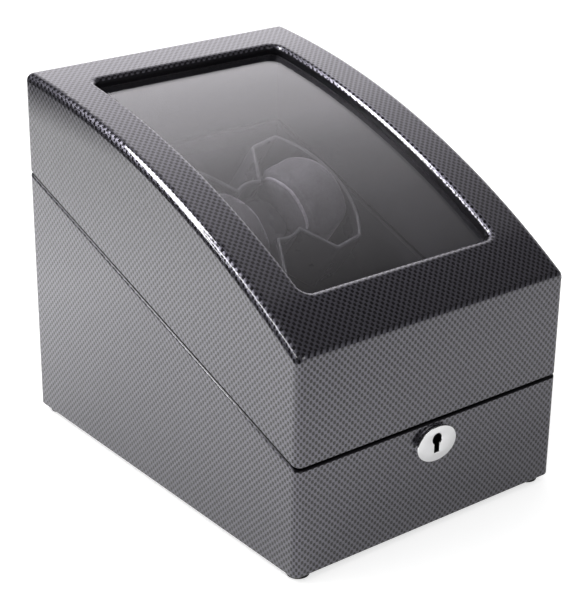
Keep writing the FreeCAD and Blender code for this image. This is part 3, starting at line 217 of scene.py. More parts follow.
class WinderStage(bpy.types.PropertyGroup):
    """Camera, floor and lights."""

    camera_at: FloatVectorProperty(name="Camera", description="Place of the camera", subtype="TRANSLATION",
                                   unit="LENGTH", default=(-0.45875, -0.57901, 0.39685))
    camera_back: FloatVectorProperty(name="Camera back", description="Direction from the box to the camera",
                                     subtype="DIRECTION", default=(-0.57100, -0.71693, 0.39996))
    camera_roll: number("Roll", "Turn of the camera about its line of sight", math.radians(0.729),
                        subtype="ANGLE")
    lens: number("Lens", "Focal length", 104.17, unit="CAMERA")
    floor_size: length("Floor", "Side of the floor", 12.0)
    key_level: number("Key light", "Brightness of the softbox on the left", 8.5)
    fill_power: number("Fill light", "Power of the light in front", 4.8, unit="POWER")


# Node trees
class Nodes:
    """A node tree and short calls for the nodes in it."""

    prefix = "ShaderNode"

    def __init__(self, tree):
        self.tree = tree

    def feed(self, socket, value):
        if isinstance(value, bpy.types.NodeSocket):
            self.tree.links.new(value, socket)
        elif socket.type == "RGBA":
            socket.default_value = (*tuple(value)[:3], 1.0)
        else:
            socket.default_value = value

    def node(self, kind, settings=None, **inputs):
        made = fitted(self.tree.nodes.new(self.prefix + kind), **(settings or {}))
        for name, value in inputs.items():
            self.feed(made.inputs[name.replace("_", " ")], value)
        return made

    def place(self):
        return self.node("TexCoord").outputs["Object"]

    def math(self, operation, *values):
        made = self.node("Math", {"operation": operation})
        for socket, value in zip(made.inputs, values):
            self.feed(socket, value)
        return made.outputs[0]

    def times(self, one, other):
        return self.math("MULTIPLY", one, other)

    def minus(self, one, other):
        return self.math("SUBTRACT", one, other)

    def absolute(self, value):
        return self.math("ABSOLUTE", value)

    def mixed(self, one, share, other):
        """Two patterns added, the first by its share and the second by the rest."""
        return self.math("MULTIPLY_ADD", one, share, self.times(other, 1.0 - share))

    def split(self, vector):
        return self.node("SeparateXYZ", Vector=vector).outputs

    def stretched(self, scale, vector=None):
        return self.node("Mapping", Vector=vector or self.place(), Scale=scale).outputs[0]

    def noise(self, scale, detail=3.0, rough=0.55, vector=None):
        made = self.node("TexNoise", Vector=vector or self.place(), Scale=scale, Detail=detail,
                         Roughness=rough)
        return made.outputs[0]

    def spread(self, factor, low, high, start=0.0, end=1.0):
        made = self.node("MapRange", Value=factor, From_Min=start, From_Max=end, To_Min=low, To_Max=high)
        return made.outputs[0]

    def mix(self, kind, places, values):
        made = self.node("Mix", {"data_type": kind})
        for index, value in zip(places, values):
            self.feed(made.inputs[index], value)
        return made.outputs

    def pick(self, factor, low, high):
        """A number that goes from low to high with the factor."""
        return self.mix("FLOAT", (0, 2, 3), (factor, low, high))[0]

    def blend(self, factor, low, high):
        """A colour that goes from low to high with the factor."""
        return self.mix("RGBA", (0, 6, 7), (factor, low, high))[2]

    def shades(self, factor, *stops):
        """A colour ramp; each stop is a place and a colour."""
        made = self.node("ValToRGB", Fac=factor)
        band = made.color_ramp.elements
        while len(band) < len(stops):
            band.new(0.5)
        for element, (at, value) in zip(band, stops):
            element.position = at
            element.color = (*tuple(value)[:3], 1.0)
        return made.outputs[0]

    def mottle(self, factor, base, low, high):
        """A colour that goes from low to high times the base with the factor."""
        return self.shades(factor, (0.3, scaled(base, low)), (0.7, scaled(base, high)))

    def bump(self, height, distance, strength=1.0):
        return self.node("Bump", Height=height, Distance=distance, Strength=strength).outputs[0]


# Finishes
class Finish(Nodes):
    """One material: a Principled shader and the nodes that feed it."""

    def __init__(self, name, base, roughness, **sockets):
        self.material = fitted(bpy.data.materials.new(name), use_nodes=True)
        super().__init__(self.material.node_tree)
        self.shader = self.tree.nodes["Principled BSDF"]
        self.put(Base_Color=base, Roughness=roughness, **sockets)

    def put(self, **sockets):
        for name, value in sockets.items():
            self.feed(self.shader.inputs[name.replace("_", " ")], value)

    def swap(self, factor, other):
        """Puts another shader in place of the main one where the factor is one."""
        made = self.node("MixShader", Fac=factor)
        self.tree.links.new(self.shader.outputs[0], made.inputs[1])
        self.tree.links.new(other.outputs[0], made.inputs[2])
        self.tree.links.new(made.outputs[0], self.tree.nodes["Material Output"].inputs["Surface"])


def scaled(value, factor):
    return tuple(min(1.0, part * factor) for part in tuple(value)[:3])


def weave_coordinates(f):
    """Coordinates along the faces of the box: round the sides, and up the front over the lid."""
    coords = f.node("TexCoord")
    x, y, z = f.split(coords.outputs["Object"])
    ax, ay, az = (f.absolute(part) for part in f.split(coords.outputs["Normal"]))
    top = f.math("GREATER_THAN", az, f.math("MAXIMUM", ax, ay))
    around = f.math("ADD", x, f.pick(top, f.times(y, -1.0), HALF_DEPTH))
    reach = f.math("DIVIDE", f.minus(y, LID_ARC_Y), LID_RADIUS)
    start = FRONT_TOP + LID_RADIUS * math.asin((HALF_DEPTH + LID_ARC_Y) / LID_RADIUS)
    over = f.math("MULTIPLY_ADD", f.math("ARCSINE", reach), LID_RADIUS, start)
    return around, f.pick(top, z, over)


def tow_shades(f, tone, colours, *tones):
    """Colours from the dark tows to the light ones, which the tones scale."""
    lights = [scaled(colours.tow_light, part) for part in tones]
    return f.shades(tone, *zip(TOW_STOPS, (colours.tow_dark, *lights)))


def woven_lacquer(name, sizes, colours, fades=False):
    """Plain weave of flat tows under a clear gloss lacquer, darkened to painted shade beside the parting;
    round the window it fades down the wall into painted shade, with a painted highlight on the right edge.
    """
    f = Finish(name, colours.tow_light, 0.42, Metallic=1.0, Coat_Roughness=0.03, Coat_IOR=1.62)
    around, up = weave_coordinates(f)
    warp = f.math("SINE", f.times(around, math.pi / sizes.tow_width))
    weft = f.math("SINE", f.times(up, math.pi / sizes.tow_height))
    weave = f.times(warp, weft)
    narrow = f.math("POWER", f.absolute(warp), TOW_NARROW)
    tall = f.math("POWER", f.absolute(weft), TOW_TALL)
    dashes = f.times(f.math("SIGN", weave), f.times(narrow, tall))
    ridge = f.math("MULTIPLY_ADD", narrow, TOW_CUT, dashes)
    flat = f.node("CombineXYZ", X=around, Y=up).outputs[0]
    upright = f.noise(1.0, 2.0, 0.6, f.stretched((FIBRE_FINE, FIBRE_LONG, 1.0), flat))
    level = f.noise(1.0, 2.0, 0.6, f.stretched((FIBRE_LONG, FIBRE_FINE, 1.0), flat))
    fibre = f.pick(f.math("GREATER_THAN", weave, 0.0), level, upright)
    tone = f.math("MULTIPLY_ADD", f.minus(fibre, 0.5), FIBRE_TONE, f.spread(ridge, 0.0, 1.0, -1.0, 1.0))
    x, y, z = f.split(f.place())
    away = f.absolute(f.minus(z, f.math("MULTIPLY_ADD", y, PARTING_SLOPE, PARTING_MIDDLE)))
    inset = f.math("MINIMUM", f.minus(HALF_WIDTH, f.absolute(x)), f.minus(HALF_DEPTH, f.absolute(y)))
    # Painted shade: beside the parting and on the inner walls near it the weave is darkened, so the parting
    # reads as a dark line
    inner_shade = f.times(f.math("GREATER_THAN", inset, INNER_START), f.math("LESS_THAN", away, INNER_REACH))
    woven = f.times(f.spread(away, WEAVE_LEFT, 1.0, *PARTING_SHADE), f.spread(inner_shade, 1.0, WEAVE_LEFT))
    tone = f.times(tone, woven)
    if fades:
        # Painted shade: down the window's wall towards the pane the weave darkens and the coat thins
        rise = f.node("Attribute", {"attribute_name": "rise"}).outputs["Fac"]
        tone = f.times(tone, f.spread(rise, WEAVE_LEFT, 1.0, *MOUTH_SHADE))
        coat = f.spread(rise, MOUTH_SHADE_COAT, 1.0, *MOUTH_SHADE)
        # Painted highlight: towards the front of the window's right edge the tows are painted brighter
        painted_light = f.times(f.spread(x, 0.0, 1.0, *MOUTH_HIGHLIGHT_ACROSS), f.spread(y, 0.0, 1.0, *MOUTH_HIGHLIGHT_ALONG))
        bright = tow_shades(f, tone, colours, MOUTH_HIGHLIGHT_GAIN, MOUTH_HIGHLIGHT_GAIN)
        tows = f.blend(painted_light, tow_shades(f, tone, colours, *TOW_TONES), bright)
    else:
        # Painted shade beside the parting: the coat thins there, so its rim catches little highlight
        coat = f.spread(away, PARTING_SHADE_COAT, 1.0, *PARTING_SHADE)
        tows = tow_shades(f, tone, colours, *TOW_TONES)
    f.put(Base_Color=tows, Roughness=f.spread(tone, 0.50, 0.36), Coat_Weight=coat,
          Normal=f.bump(tone, 0.06 * MM, 0.8), Coat_Normal=f.bump(weave, 0.0025 * MM, 0.8))
    return f.material


def smoked_acrylic(colours):
    """Lightly tinted clear sheet; lamps reach the inside through a film of the same tint."""
    f = Finish("smoked_acrylic", colours.smoke, 0.0, Transmission_Weight=1.0, IOR=1.70)
    film = f.node("BsdfTransparent", Color=scaled(colours.smoke, 1.15))
    haze = f.noise(90.0, 3.0)
    f.put(Roughness=f.spread(haze, 0.0, 0.006, 0.4, 0.7))
    f.swap(f.node("LightPath").outputs["Is Shadow Ray"], film)
    return f.material


def velvet_nap(colours):
    f = Finish("velvet_nap", colours.velvet, 0.92, Sheen_Weight=0.55, Sheen_Roughness=0.35,
               Sheen_Tint=(0.75, 0.76, 0.80))
    brushed = f.noise(38.0, 4.0, 0.6)
    pile = f.noise(2600.0, 2.0, 0.7)
    tone = f.mixed(pile, 0.1, brushed)
    f.put(Base_Color=f.mottle(tone, colours.velvet, 0.75, 1.3),
          Normal=f.bump(pile, 0.008 * MM, 0.3))
    return f.material


def brushed_suede(name, base):
    """Short-napped cover: fine pile, worn patches and a pale sheen where it turns away."""
    f = Finish(name, base, 0.85, Sheen_Weight=0.9, Sheen_Roughness=0.3,
               Sheen_Tint=(0.92, 0.90, 0.95), Specular_IOR_Level=0.3)
    pile = f.noise(900.0, 3.0, 0.7)
    wear_and_highlight = f.noise(80.0, 3.0)
    tone = f.mixed(pile, 0.6, wear_and_highlight)
    f.put(Base_Color=f.mottle(tone, base, 0.55, 1.5),
          Roughness=f.spread(tone, 0.92, 0.75), Normal=f.bump(pile, 0.2 * MM, 0.7))
    return f.material


def moulded_plastic(name, base, roughness, grain):
    """Moulded plastic: a fine spark texture and a slow change of gloss."""
    f = Finish(name, base, roughness, Specular_IOR_Level=0.5)
    spark = f.noise(3800.0, 2.0, 0.7)
    slow = f.noise(60.0, 3.0)
    f.put(Base_Color=f.mottle(slow, base, 0.8, 1.25),
          Roughness=f.spread(slow, roughness - 0.05, roughness + 0.08, 0.3, 0.7),
          Normal=f.bump(spark, grain, 0.6))
    return f.material


def foot_rubber(colours):
    f = Finish("matt_rubber", colours.rubber, 0.8, Specular_IOR_Level=0.35)
    dust = f.noise(240.0, 4.0, 0.65)
    stipple = f.node("TexVoronoi", Vector=f.place(), Scale=1700.0).outputs["Distance"]
    f.put(Base_Color=f.shades(dust, (0.35, colours.rubber), (0.8, scaled(colours.rubber, 2.6))),
          Roughness=f.spread(dust, 0.72, 0.9), Normal=f.bump(stipple, 0.08 * MM, 0.6))
    return f.material


def polished_metal(name, base, roughness, scratch):
    """Plated or polished metal with hairline scratches and faint clouding."""
    f = Finish(name, base, roughness, Metallic=1.0)
    hairs = f.noise(1.0, 3.0, 0.7, f.stretched((260.0, 260.0, 9000.0)))
    cloud = f.noise(120.0, 3.0)
    f.put(Base_Color=f.mottle(cloud, base, 0.93, 1.0),
          Roughness=f.spread(f.times(hairs, cloud), roughness, roughness + 0.12, 0.15, 0.5),
          Normal=f.bump(hairs, scratch, 0.35))
    return f.material


def brushed_plate(colours):
    f = Finish("brushed_plate", colours.aluminium, 0.34, Metallic=1.0, Anisotropic=0.5)
    brush = f.noise(1.0, 4.0, 0.7, f.stretched((70.0, 8000.0, 8000.0)))
    f.put(Base_Color=f.mottle(brush, colours.aluminium, 0.78, 1.0),
          Roughness=f.spread(brush, 0.26, 0.44, 0.3, 0.7), Normal=f.bump(brush, 0.012 * MM, 0.5))
    return f.material


def turned_brass(colours):
    f = Finish("turned_brass", colours.brass, 0.25, Metallic=1.0)
    rings = f.noise(1.0, 3.0, 0.6, f.stretched((300.0, 4200.0, 4200.0)))
    tarnish = f.noise(160.0, 3.0)
    f.put(Base_Color=f.mottle(tarnish, colours.brass, 0.7, 1.0),
          Roughness=f.spread(rings, 0.18, 0.36, 0.3, 0.7), Normal=f.bump(rings, 0.01 * MM, 0.4))
    return f.material


def fibreboard(name, base, gloss):
    f = Finish(name, base, gloss)
    fibres = f.noise(1.0, 5.0, 0.7, f.stretched((900.0, 500.0, 1400.0)))
    blotch = f.noise(45.0, 4.0)
    tone = f.mixed(fibres, 0.6, blotch)
    f.put(Base_Color=f.mottle(tone, base, 0.62, 1.35),
          Roughness=f.spread(tone, gloss - 0.08, gloss + 0.1, 0.3, 0.7), Normal=f.bump(tone, 0.1 * MM, 0.6))
    return f.material


def circuit_green():
    f = Finish("circuit_green", (0.012, 0.085, 0.035), 0.32)
    lanes = f.node("TexBrick", {"offset": 0.37}, Vector=f.place(), Scale=190.0, Mortar_Size=0.06,
                   Color1=(0.0, 0.0, 0.0), Color2=(0.15, 0.15, 0.15), Mortar=(1.0, 1.0, 1.0))
    mask = f.noise(130.0, 2.0)
    copper = f.times(lanes.outputs["Color"], f.math("GREATER_THAN", mask, 0.5))
    f.put(Base_Color=f.shades(copper, (0.1, (0.010, 0.075, 0.030)), (0.9, (0.030, 0.165, 0.060))),
          Normal=f.bump(copper, 0.03 * MM, 0.5))
    return f.material


def natural_nylon():
    f = Finish("natural_nylon", (0.72, 0.70, 0.62), 0.45, Subsurface_Weight=0.15, Subsurface_Scale=1.5 * MM)
    cloud = f.noise(180.0, 3.0)
    f.put(Base_Color=f.shades(cloud, (0.3, (0.66, 0.64, 0.56)), (0.7, (0.76, 0.74, 0.67))),
          Roughness=f.spread(cloud, 0.38, 0.52, 0.3, 0.7))
    return f.material


def printed_white(colours):
    f = Finish("printed_white", colours.print_white, 0.55)
    worn = f.noise(2600.0, 3.0)
    f.put(Base_Color=f.shades(worn, (0.3, scaled(colours.print_white, 0.8)), (0.6, colours.print_white)))
    return f.material


def dress(material, *names):
    for name in names:
        for holder in NODES[name].material_slots:
            holder.material = material


# Mesh helpers
def new_object(name, data):
    made = bpy.data.objects.new(name, data)
    bpy.context.scene.collection.objects.link(made)
    return made


def new_piece(name, mesh, material, body):
    piece = new_object(name, mesh)
    mesh.materials.clear()
    mesh.materials.append(material)
    mesh.polygons.foreach_set("use_smooth", [True] * len(mesh.polygons))
    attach(piece, body)
    return piece


def evaluated_mesh(piece):
    """The piece's mesh as its modifiers leave it."""
    graph = bpy.context.evaluated_depsgraph_get()
    return bpy.data.meshes.new_from_object(piece.evaluated_get(graph))


def drop(piece):
    mesh = piece.data
    bpy.data.objects.remove(piece)
    bpy.data.meshes.remove(mesh)


def welded(mesh):
    """A mesh opened for work, with its loose triangles joined."""
    work = bmesh.new()
    work.from_mesh(mesh)
    bmesh.ops.remove_doubles(work, verts=work.verts, dist=WELD)
    return work


def cleaned_copy(node, matrix):
    """A copy of a node's mesh with its loose triangles joined, moved by a matrix."""
    work = welded(NODES[node].data)
    work.transform(matrix)
    mesh = bpy.data.meshes.new(node + "_copy")
    work.to_mesh(mesh)
    work.free()
    return mesh


def closed(mesh):
    """Joins a mesh's loose seams, turns its faces outwards and marks its sharp edges."""
    work = welded(mesh)
    bmesh.ops.recalc_face_normals(work, faces=work.faces)
    work.to_mesh(mesh)
    work.free()
    mesh.set_sharp_from_angle(angle=SHARP_ANGLE)
    return mesh


def add_ring(curve, kind, points):
    """Adds a closed row of points to a curve."""
    spline = curve.splines.new(kind)
    spline.points.add(len(points) - 1)
    for target, point in zip(spline.points, points):
        target.co = (*point, 1.0)
    spline.use_cyclic_u = True
    return spline


def curve_mesh(curve):
    """The mesh that a curve makes; the curve goes."""
    holder = new_object(curve.name, curve)
    mesh = evaluated_mesh(holder)
    bpy.data.objects.remove(holder)
    bpy.data.curves.remove(curve)
    return mesh


def tube(name, points, radius):
    """A closed round bead along a ring of points."""
    curve = fitted(bpy.data.curves.new(name, "CURVE"), dimensions="3D", bevel_depth=radius,
                   bevel_resolution=2, resolution_u=2)
    add_ring(curve, "NURBS", points).order_u = 3
    return curve_mesh(curve)


# Geometry node trees
class NodeTree(Nodes):
    """A geometry tree with named number inputs and one material."""

    prefix = ""

    def __init__(self, name, numbers):
        super().__init__(bpy.data.node_groups.new(name, "GeometryNodeTree"))
        sockets = self.tree.interface
        sockets.new_socket("Geometry", in_out="INPUT", socket_type="NodeSocketGeometry")
        self.keys = {}
        for number, kind in numbers.items():
            socket = sockets.new_socket(number, in_out="INPUT", socket_type="NodeSocket" + kind)
            self.keys[number] = socket.identifier
        sockets.new_socket("Geometry", in_out="OUTPUT", socket_type="NodeSocketGeometry")
        self.start = self.node("NodeGroupInput")
        self.end = self.node("NodeGroupOutput")

    def close(self, geometry, material):
        real = self.node("GeometryNodeRealizeInstances", Geometry=geometry)
        painted = self.node("GeometryNodeSetMaterial", Geometry=real.outputs[0], Material=material)
        self.tree.links.new(painted.outputs[0], self.end.inputs[0])

    def grow(self, name, mesh, numbers):
        """Runs the tree on a mesh and returns the plain mesh that it makes."""
        holder = new_object(name, mesh)
        modifier = fitted(holder.modifiers.new(name, "NODES"), node_group=self.tree)
        for number, value in numbers.items():
            modifier[self.keys[number]] = value
        made = evaluated_mesh(holder)
        drop(holder)
        return made


def stitch_tree(material):
    """Stitches along every edge line of a mesh."""
    made = NodeTree("stitch_row", {"Pitch": "Float", "Length": "Float", "Radius": "Float"})
    given = made.start.outputs
    line = made.node("GeometryNodeMeshToCurve", Mesh=given["Geometry"])
    spots = made.node("GeometryNodeResampleCurve", {"mode": "LENGTH"}, Curve=line.outputs[0],
                      Length=given["Pitch"])
    thread = made.node("GeometryNodeMeshUVSphere", Segments=8, Rings=6, Radius=0.5)
    size = made.node("ShaderNodeCombineXYZ", X=given["Radius"], Y=given["Radius"], Z=given["Length"])
    along = made.node("FunctionNodeAlignRotationToVector", {"axis": "Z"},
                      Vector=made.node("GeometryNodeInputTangent").outputs[0])
    row = made.node("GeometryNodeInstanceOnPoints", Points=spots.outputs[0], Instance=thread.outputs[0],
                    Rotation=along.outputs[0], Scale=size.outputs[0])
    made.close(row.outputs[0], material)
    return made


def rib_tree(material):
    """Upright ribs, one at every point of a mesh."""
    made = NodeTree("grip_ribs", {"Radius": "Float", "Height": "Float"})
    given = made.start.outputs
    rib = made.node("GeometryNodeMeshCylinder", Vertices=8, Radius=given["Radius"], Depth=given["Height"])
    row = made.node("GeometryNodeInstanceOnPoints", Points=given["Geometry"], Instance=rib.outputs["Mesh"])
    made.close(row.outputs[0], material)
    return made


# Pillows: how the covers swell, how they pucker along the seams, and the points round piping and stitches
SWELL_SCALE = 10.0
SWELL_FRAMES = 20
SWELL_CLOTH = {"quality": 6, "mass": 0.3, "tension_stiffness": 15.0, "compression_stiffness": 15.0,
               "shear_stiffness": 5.0, "bending_stiffness": 0.5, "use_pressure": True,
               "uniform_pressure_force": 4.0}
PUCKER_DEPTH = 0.25 * MM
PUCKER_REACH = 1.6 * MM
RIPPLE_SCALE = 420.0
RIPPLE_SHARE = 0.35
RIPPLE_REACH = 3.0 * PUCKER_REACH
WELT_POINTS = 90
STITCH_POINTS = 140
STITCH_LIFT = 0.02 * MM
RAY_REACH = 100.0 * MM


def shift(mesh, moves):
    for vertex, move in zip(mesh.vertices, moves):
        vertex.co += move


def swollen(mesh, cap):
    """Lets a closed cover swell under pressure, no point further than the cap."""
    start = [vertex.co.copy() for vertex in mesh.vertices]
    cover = new_object("swelling_cover", mesh)
    cloth = cover.modifiers.new("swell", "CLOTH")
    fitted(cloth.settings, **SWELL_CLOTH)
    cloth.settings.effector_weights.gravity = 0.0
    fitted(cloth.point_cache, frame_start=1, frame_end=SWELL_FRAMES)
    for number in range(1, SWELL_FRAMES + 1):
        bpy.context.scene.frame_set(number)
    result = evaluated_mesh(cover)
    for vertex, origin in zip(result.vertices, start):
        step = vertex.co - origin
        if step.length > cap:
            vertex.co = origin + step.normalized() * cap
    drop(cover)
    bpy.context.scene.frame_set(1)
    return result


def pad_mesh(node, sizes):
    """The pillow's cover in the turntable's frame, remeshed, shrunk and swollen."""
    into = Matrix.Scale(SWELL_SCALE, 4) @ ROTOR.inverted()
    rough = new_object("pad_form", cleaned_copy(node, into))
    fitted(rough.modifiers.new("even_mesh", "REMESH"), mode="VOXEL",
           voxel_size=sizes.pad_voxel * SWELL_SCALE)
    fitted(rough.modifiers.new("ease", "SMOOTH"), iterations=4)
    even = evaluated_mesh(rough)
    drop(rough)
    inset = sizes.pad_inset * SWELL_SCALE
    shift(even, [vertex.normal * -inset for vertex in even.vertices])
    even = swollen(even, sizes.pad_cap * SWELL_SCALE)
    even.transform(Matrix.Scale(1.0 / SWELL_SCALE, 4))
    return even


def pucker(mesh, seams):
    """Draws the cover in along its seams and leaves small puckers beside them."""
    moves = []
    for vertex in mesh.vertices:
        gap = min(abs(vertex.co.x - seam) for seam in seams)
        pull = max(0.0, 1.0 - gap / PUCKER_REACH)
        near = max(0.0, 1.0 - gap / RIPPLE_REACH)
        ripple = noise.noise(vertex.co * RIPPLE_SCALE) * RIPPLE_SHARE * near
        moves.append(vertex.normal * PUCKER_DEPTH * (ripple - pull * pull))
    shift(mesh, moves)


def ring_on(mesh, along, count, lift):
    """Points round a cover at one place along it, lifted off its surface."""
    tree = BVHTree.FromPolygons([v.co for v in mesh.vertices], [p.vertices[:] for p in mesh.polygons])
    low = min(v.co.z for v in mesh.vertices)
    high = max(v.co.z for v in mesh.vertices)
    middle = Vector((along, 0.0, (low + high) / 2.0))
    points = []
    for index in range(count):
        turn = 2.0 * math.pi * index / count
        outward = Vector((0.0, math.cos(turn), math.sin(turn)))
        hit = tree.ray_cast(middle + outward * RAY_REACH, -outward)[0]
        if hit is None:
            raise RuntimeError("a pillow has no surface to sew on")
        points.append(hit + outward * lift)
    return points


def eased(points, rounds=16):
    """A closed row of points with its small waves taken out."""
    for _ in range(rounds):
        before, after = points[-1:] + points[:-1], points[1:] + points[:1]
        points = [(one + here * 2.0 + two) / 4.0 for one, here, two in zip(before, points, after)]
    return points


def line_mesh(points):
    mesh = bpy.data.meshes.new("seam_line")
    count = len(points)
    mesh.from_pydata(points, [(i, (i + 1) % count) for i in range(count)], [])
    return mesh


class WINDER_OT_pillows(bpy.types.Operator):
    """Makes the two pillows with their piping and stitches"""

    bl_idname = "winder.pillows"
    bl_label = "Pillows"

    def execute(self, context):
        sizes, colours = context.scene.winder_sizes, context.scene.winder_colours
        suede = brushed_suede("brushed_suede", colours.suede)
        # Painted highlight: a lighter copy of the suede for the piping on the inner ends
        wear_and_highlight = brushed_suede("highlight_suede", scaled(colours.suede, sizes.welt_highlight))
        thread = moulded_plastic("sewing_thread", scaled(colours.suede, 1.3), 0.6, 0.01 * MM)
        sewing = stitch_tree(thread)
        covers = {"inner": wear_and_highlight, "outer": suede}
        for node, names in (("pillow_right", ("inner", "outer")), ("pillow_left", ("outer", "inner"))):
            cover = pad_mesh(node, sizes)
            xs = [vertex.co.x for vertex in cover.vertices]
            ends = (min(xs) + sizes.welt_in, max(xs) - sizes.welt_in)
            pucker(cover, ends)
            rings = [eased(ring_on(cover, end, WELT_POINTS, 0.0)) for end in ends]
            welts = [tube(node + "_welt", ring, sizes.welt_radius) for ring in rings]
            rows = [line_mesh(ring_on(cover, end + way * sizes.stitch_in, STITCH_POINTS, STITCH_LIFT))
                    for end, way in zip(ends, (1.0, -1.0))]
            numbers = {"Pitch": sizes.stitch_pitch, "Length": sizes.stitch_length,
                       "Radius": 2.0 * sizes.stitch_radius}
            cover.transform(ROTOR)
            pad = new_piece(node + "_pad", cover, suede, node)
            fitted(pad.modifiers.new("finer", "SUBSURF"), levels=1, render_levels=1)
            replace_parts(pad, node)
            for end, welt, row in zip(names, welts, rows):
                welt.transform(ROTOR)
                new_piece(node + "_" + end + "_piping", welt, covers[end], node)
                sewn = sewing.grow("stitches", row, numbers)
                sewn.transform(ROTOR)
                new_piece(node + "_" + end + "_stitches", sewn, thread, node)
        return {"FINISHED"}


# Rounded mouth of the window
MOUTH_STEP = 4.0 * MM
MOUTH_CORNER_STEPS = 10
MOUTH_ROUND_STEPS = 12
MOUTH_PROUD = 0.06 * MM
MOUTH_SKIN = 0.3 * MM


def window_ring():
    """Points round the window's wall on the unrolled lid, each with its outward direction."""
    back, front = (LID_RADIUS * math.acos((y - LID_ARC_Y) / LID_RADIUS) for y in WINDOW_ENDS)
    across = WINDOW_HALF - WINDOW_CORNER
    along = (front - back) / 2.0 - WINDOW_CORNER
    bends = []
    for quarter, (right, down) in enumerate(((1, 1), (-1, 1), (-1, -1), (1, -1))):
        centre = Vector((right * across, (front + back) / 2.0 + down * along))
        for step in range(MOUTH_CORNER_STEPS + 1):
            turn = (quarter + step / MOUTH_CORNER_STEPS) * math.pi / 2.0
            outward = Vector((math.cos(turn), math.sin(turn)))
            bends.append((centre + outward * WINDOW_CORNER, outward))
    ring = []
    for (here, outward), (there, _) in zip(bends, bends[1:] + bends[:1]):
        count = max(1, round((there - here).length / MOUTH_STEP))
        ring += [(here.lerp(there, index / count), outward) for index in range(count)]
    return ring


def mouth_section():
    """The skin's outline as places outward, heights and rises from the pane to the lid."""
    rises = [step / MOUTH_ROUND_STEPS for step in range(MOUTH_ROUND_STEPS + 1)]
    sides = []
    for reach in (WINDOW_EDGE + MOUTH_PROUD, WINDOW_EDGE - MOUTH_SKIN):
        side = [(WINDOW_EDGE - reach, LID_RADIUS - PANE_DEPTH, 0.0)]
        for rise in rises:
            turn = math.pi / 2.0 * rise
            outward = WINDOW_EDGE - reach * math.cos(turn)
            side.append((outward, LID_RADIUS - WINDOW_EDGE + reach * math.sin(turn), rise))
        sides.append(side)
    return sides[0] + sides[1][::-1]


def window_mouth():
    """A thin rounded skin over the wall and the mouth of the window, from the pane up on to the lid."""
    section = mouth_section()
    points = []
    for spot, outward in window_ring():
        for reach, height, _ in section:
            x, run = spot + outward * reach
            angle = run / LID_RADIUS
            points.append((x, LID_ARC_Y + height * math.cos(angle), LID_ARC_Z + height * math.sin(angle)))
    size = len(section)
    count = len(points) // size
    faces = [(i * size + j, i * size + (j + 1) % size, (i + 1) % count * size + (j + 1) % size,
              (i + 1) % count * size + j) for i in range(count) for j in range(size)]
    mesh = bpy.data.meshes.new("window_mouth")
    mesh.from_pydata(points, [], faces)
    rises = mesh.attributes.new("rise", "FLOAT", "POINT")
    rises.data.foreach_set("value", [rise for _, _, rise in section] * count)
    return closed(mesh)


class WINDER_OT_case(bpy.types.Operator):
    """Finishes the woven shells, the window, the linings, the bottom and the feet"""

    bl_idname = "winder.case"
    bl_label = "Case"

    def execute(self, context):
        sizes, colours = context.scene.winder_sizes, context.scene.winder_colours
        woven = woven_lacquer("woven_lacquer", sizes, colours)
        dress(woven, "base_shell", "lid_shell")
        # The mouth's lacquer carries painted shade down the window's wall and a painted highlight on its
        # right edge
        faded = woven_lacquer("woven_lacquer_mouth", sizes, colours, True)
        new_piece("window_mouth", window_mouth(), faded, "lid")
        dress(smoked_acrylic(colours), "window_pane")
        dress(velvet_nap(colours), "base_liner", "lid_lining", "rotor_panel", "control_shelf", "pane_frame")
        dress(fibreboard("black_board_paint", (0.020, 0.020, 0.021), 0.5), "base_bottom")
        dress(fibreboard("plain_fibreboard", (0.36, 0.25, 0.15), 0.8), "shelf_cleats", "panel_cleat")
        feet = ["foot_" + end + "_" + side for end in ("front", "rear") for side in ("left", "right")]
        dress(foot_rubber(colours), "lid_bumpers", *feet)
        return {"FINISHED"}


# Lock plate: keyhole as the lock behind it has it, measured from the plate's middle
KEY_RADIUS = 2.6 * MM
KEY_UP = 1.8 * MM
KEY_HALF_SLOT = 1.45 * MM
KEY_DOWN = 4.4 * MM
LOCK_TALLER = 0.1 * MM
LOCK_LOWER = 0.4 * MM
KEYWAY_SKIN = 0.12 * MM
KEYWAY_BACK = 0.35 * MM
NOZZLE_RADIUS = 4.8 * MM
NOZZLE_LENGTH = 3.0 * MM


def oval_outline(wide, tall, count=96):
    return [(wide * math.cos(2.0 * math.pi * i / count), tall * math.sin(2.0 * math.pi * i / count))
            for i in range(count)]


def keyhole_outline(inset=0.0, count=32):
    reach, half, down = KEY_RADIUS - inset, KEY_HALF_SLOT - inset, KEY_DOWN - inset
    start = -math.acos(half / reach)
    turns = [start + (math.pi - 2.0 * start) * i / count for i in range(count + 1)]
    head = [(reach * math.cos(turn), KEY_UP + reach * math.sin(turn)) for turn in turns]
    return head + [(-half, -down), (half, -down)]


def keyed_plate(name, outline, hole, front, back, rounding):
    """A plate across the front of the box with the keyhole through it, between two depths."""
    curve = fitted(bpy.data.curves.new(name, "CURVE"), dimensions="2D", fill_mode="BOTH",
                   extrude=(back - front) / 2.0 - rounding, bevel_depth=rounding, bevel_resolution=3,
                   offset=-rounding)
    for points in (outline, hole):
        add_ring(curve, "POLY", [(x, y, 0.0) for x, y in points])
    mesh = curve_mesh(curve)
    middle = Matrix.Translation((0.0, (front + back) / 2.0, 0.0))
    mesh.transform(middle @ Matrix.Rotation(math.pi / 2.0, 4, "X"))
    return closed(mesh)


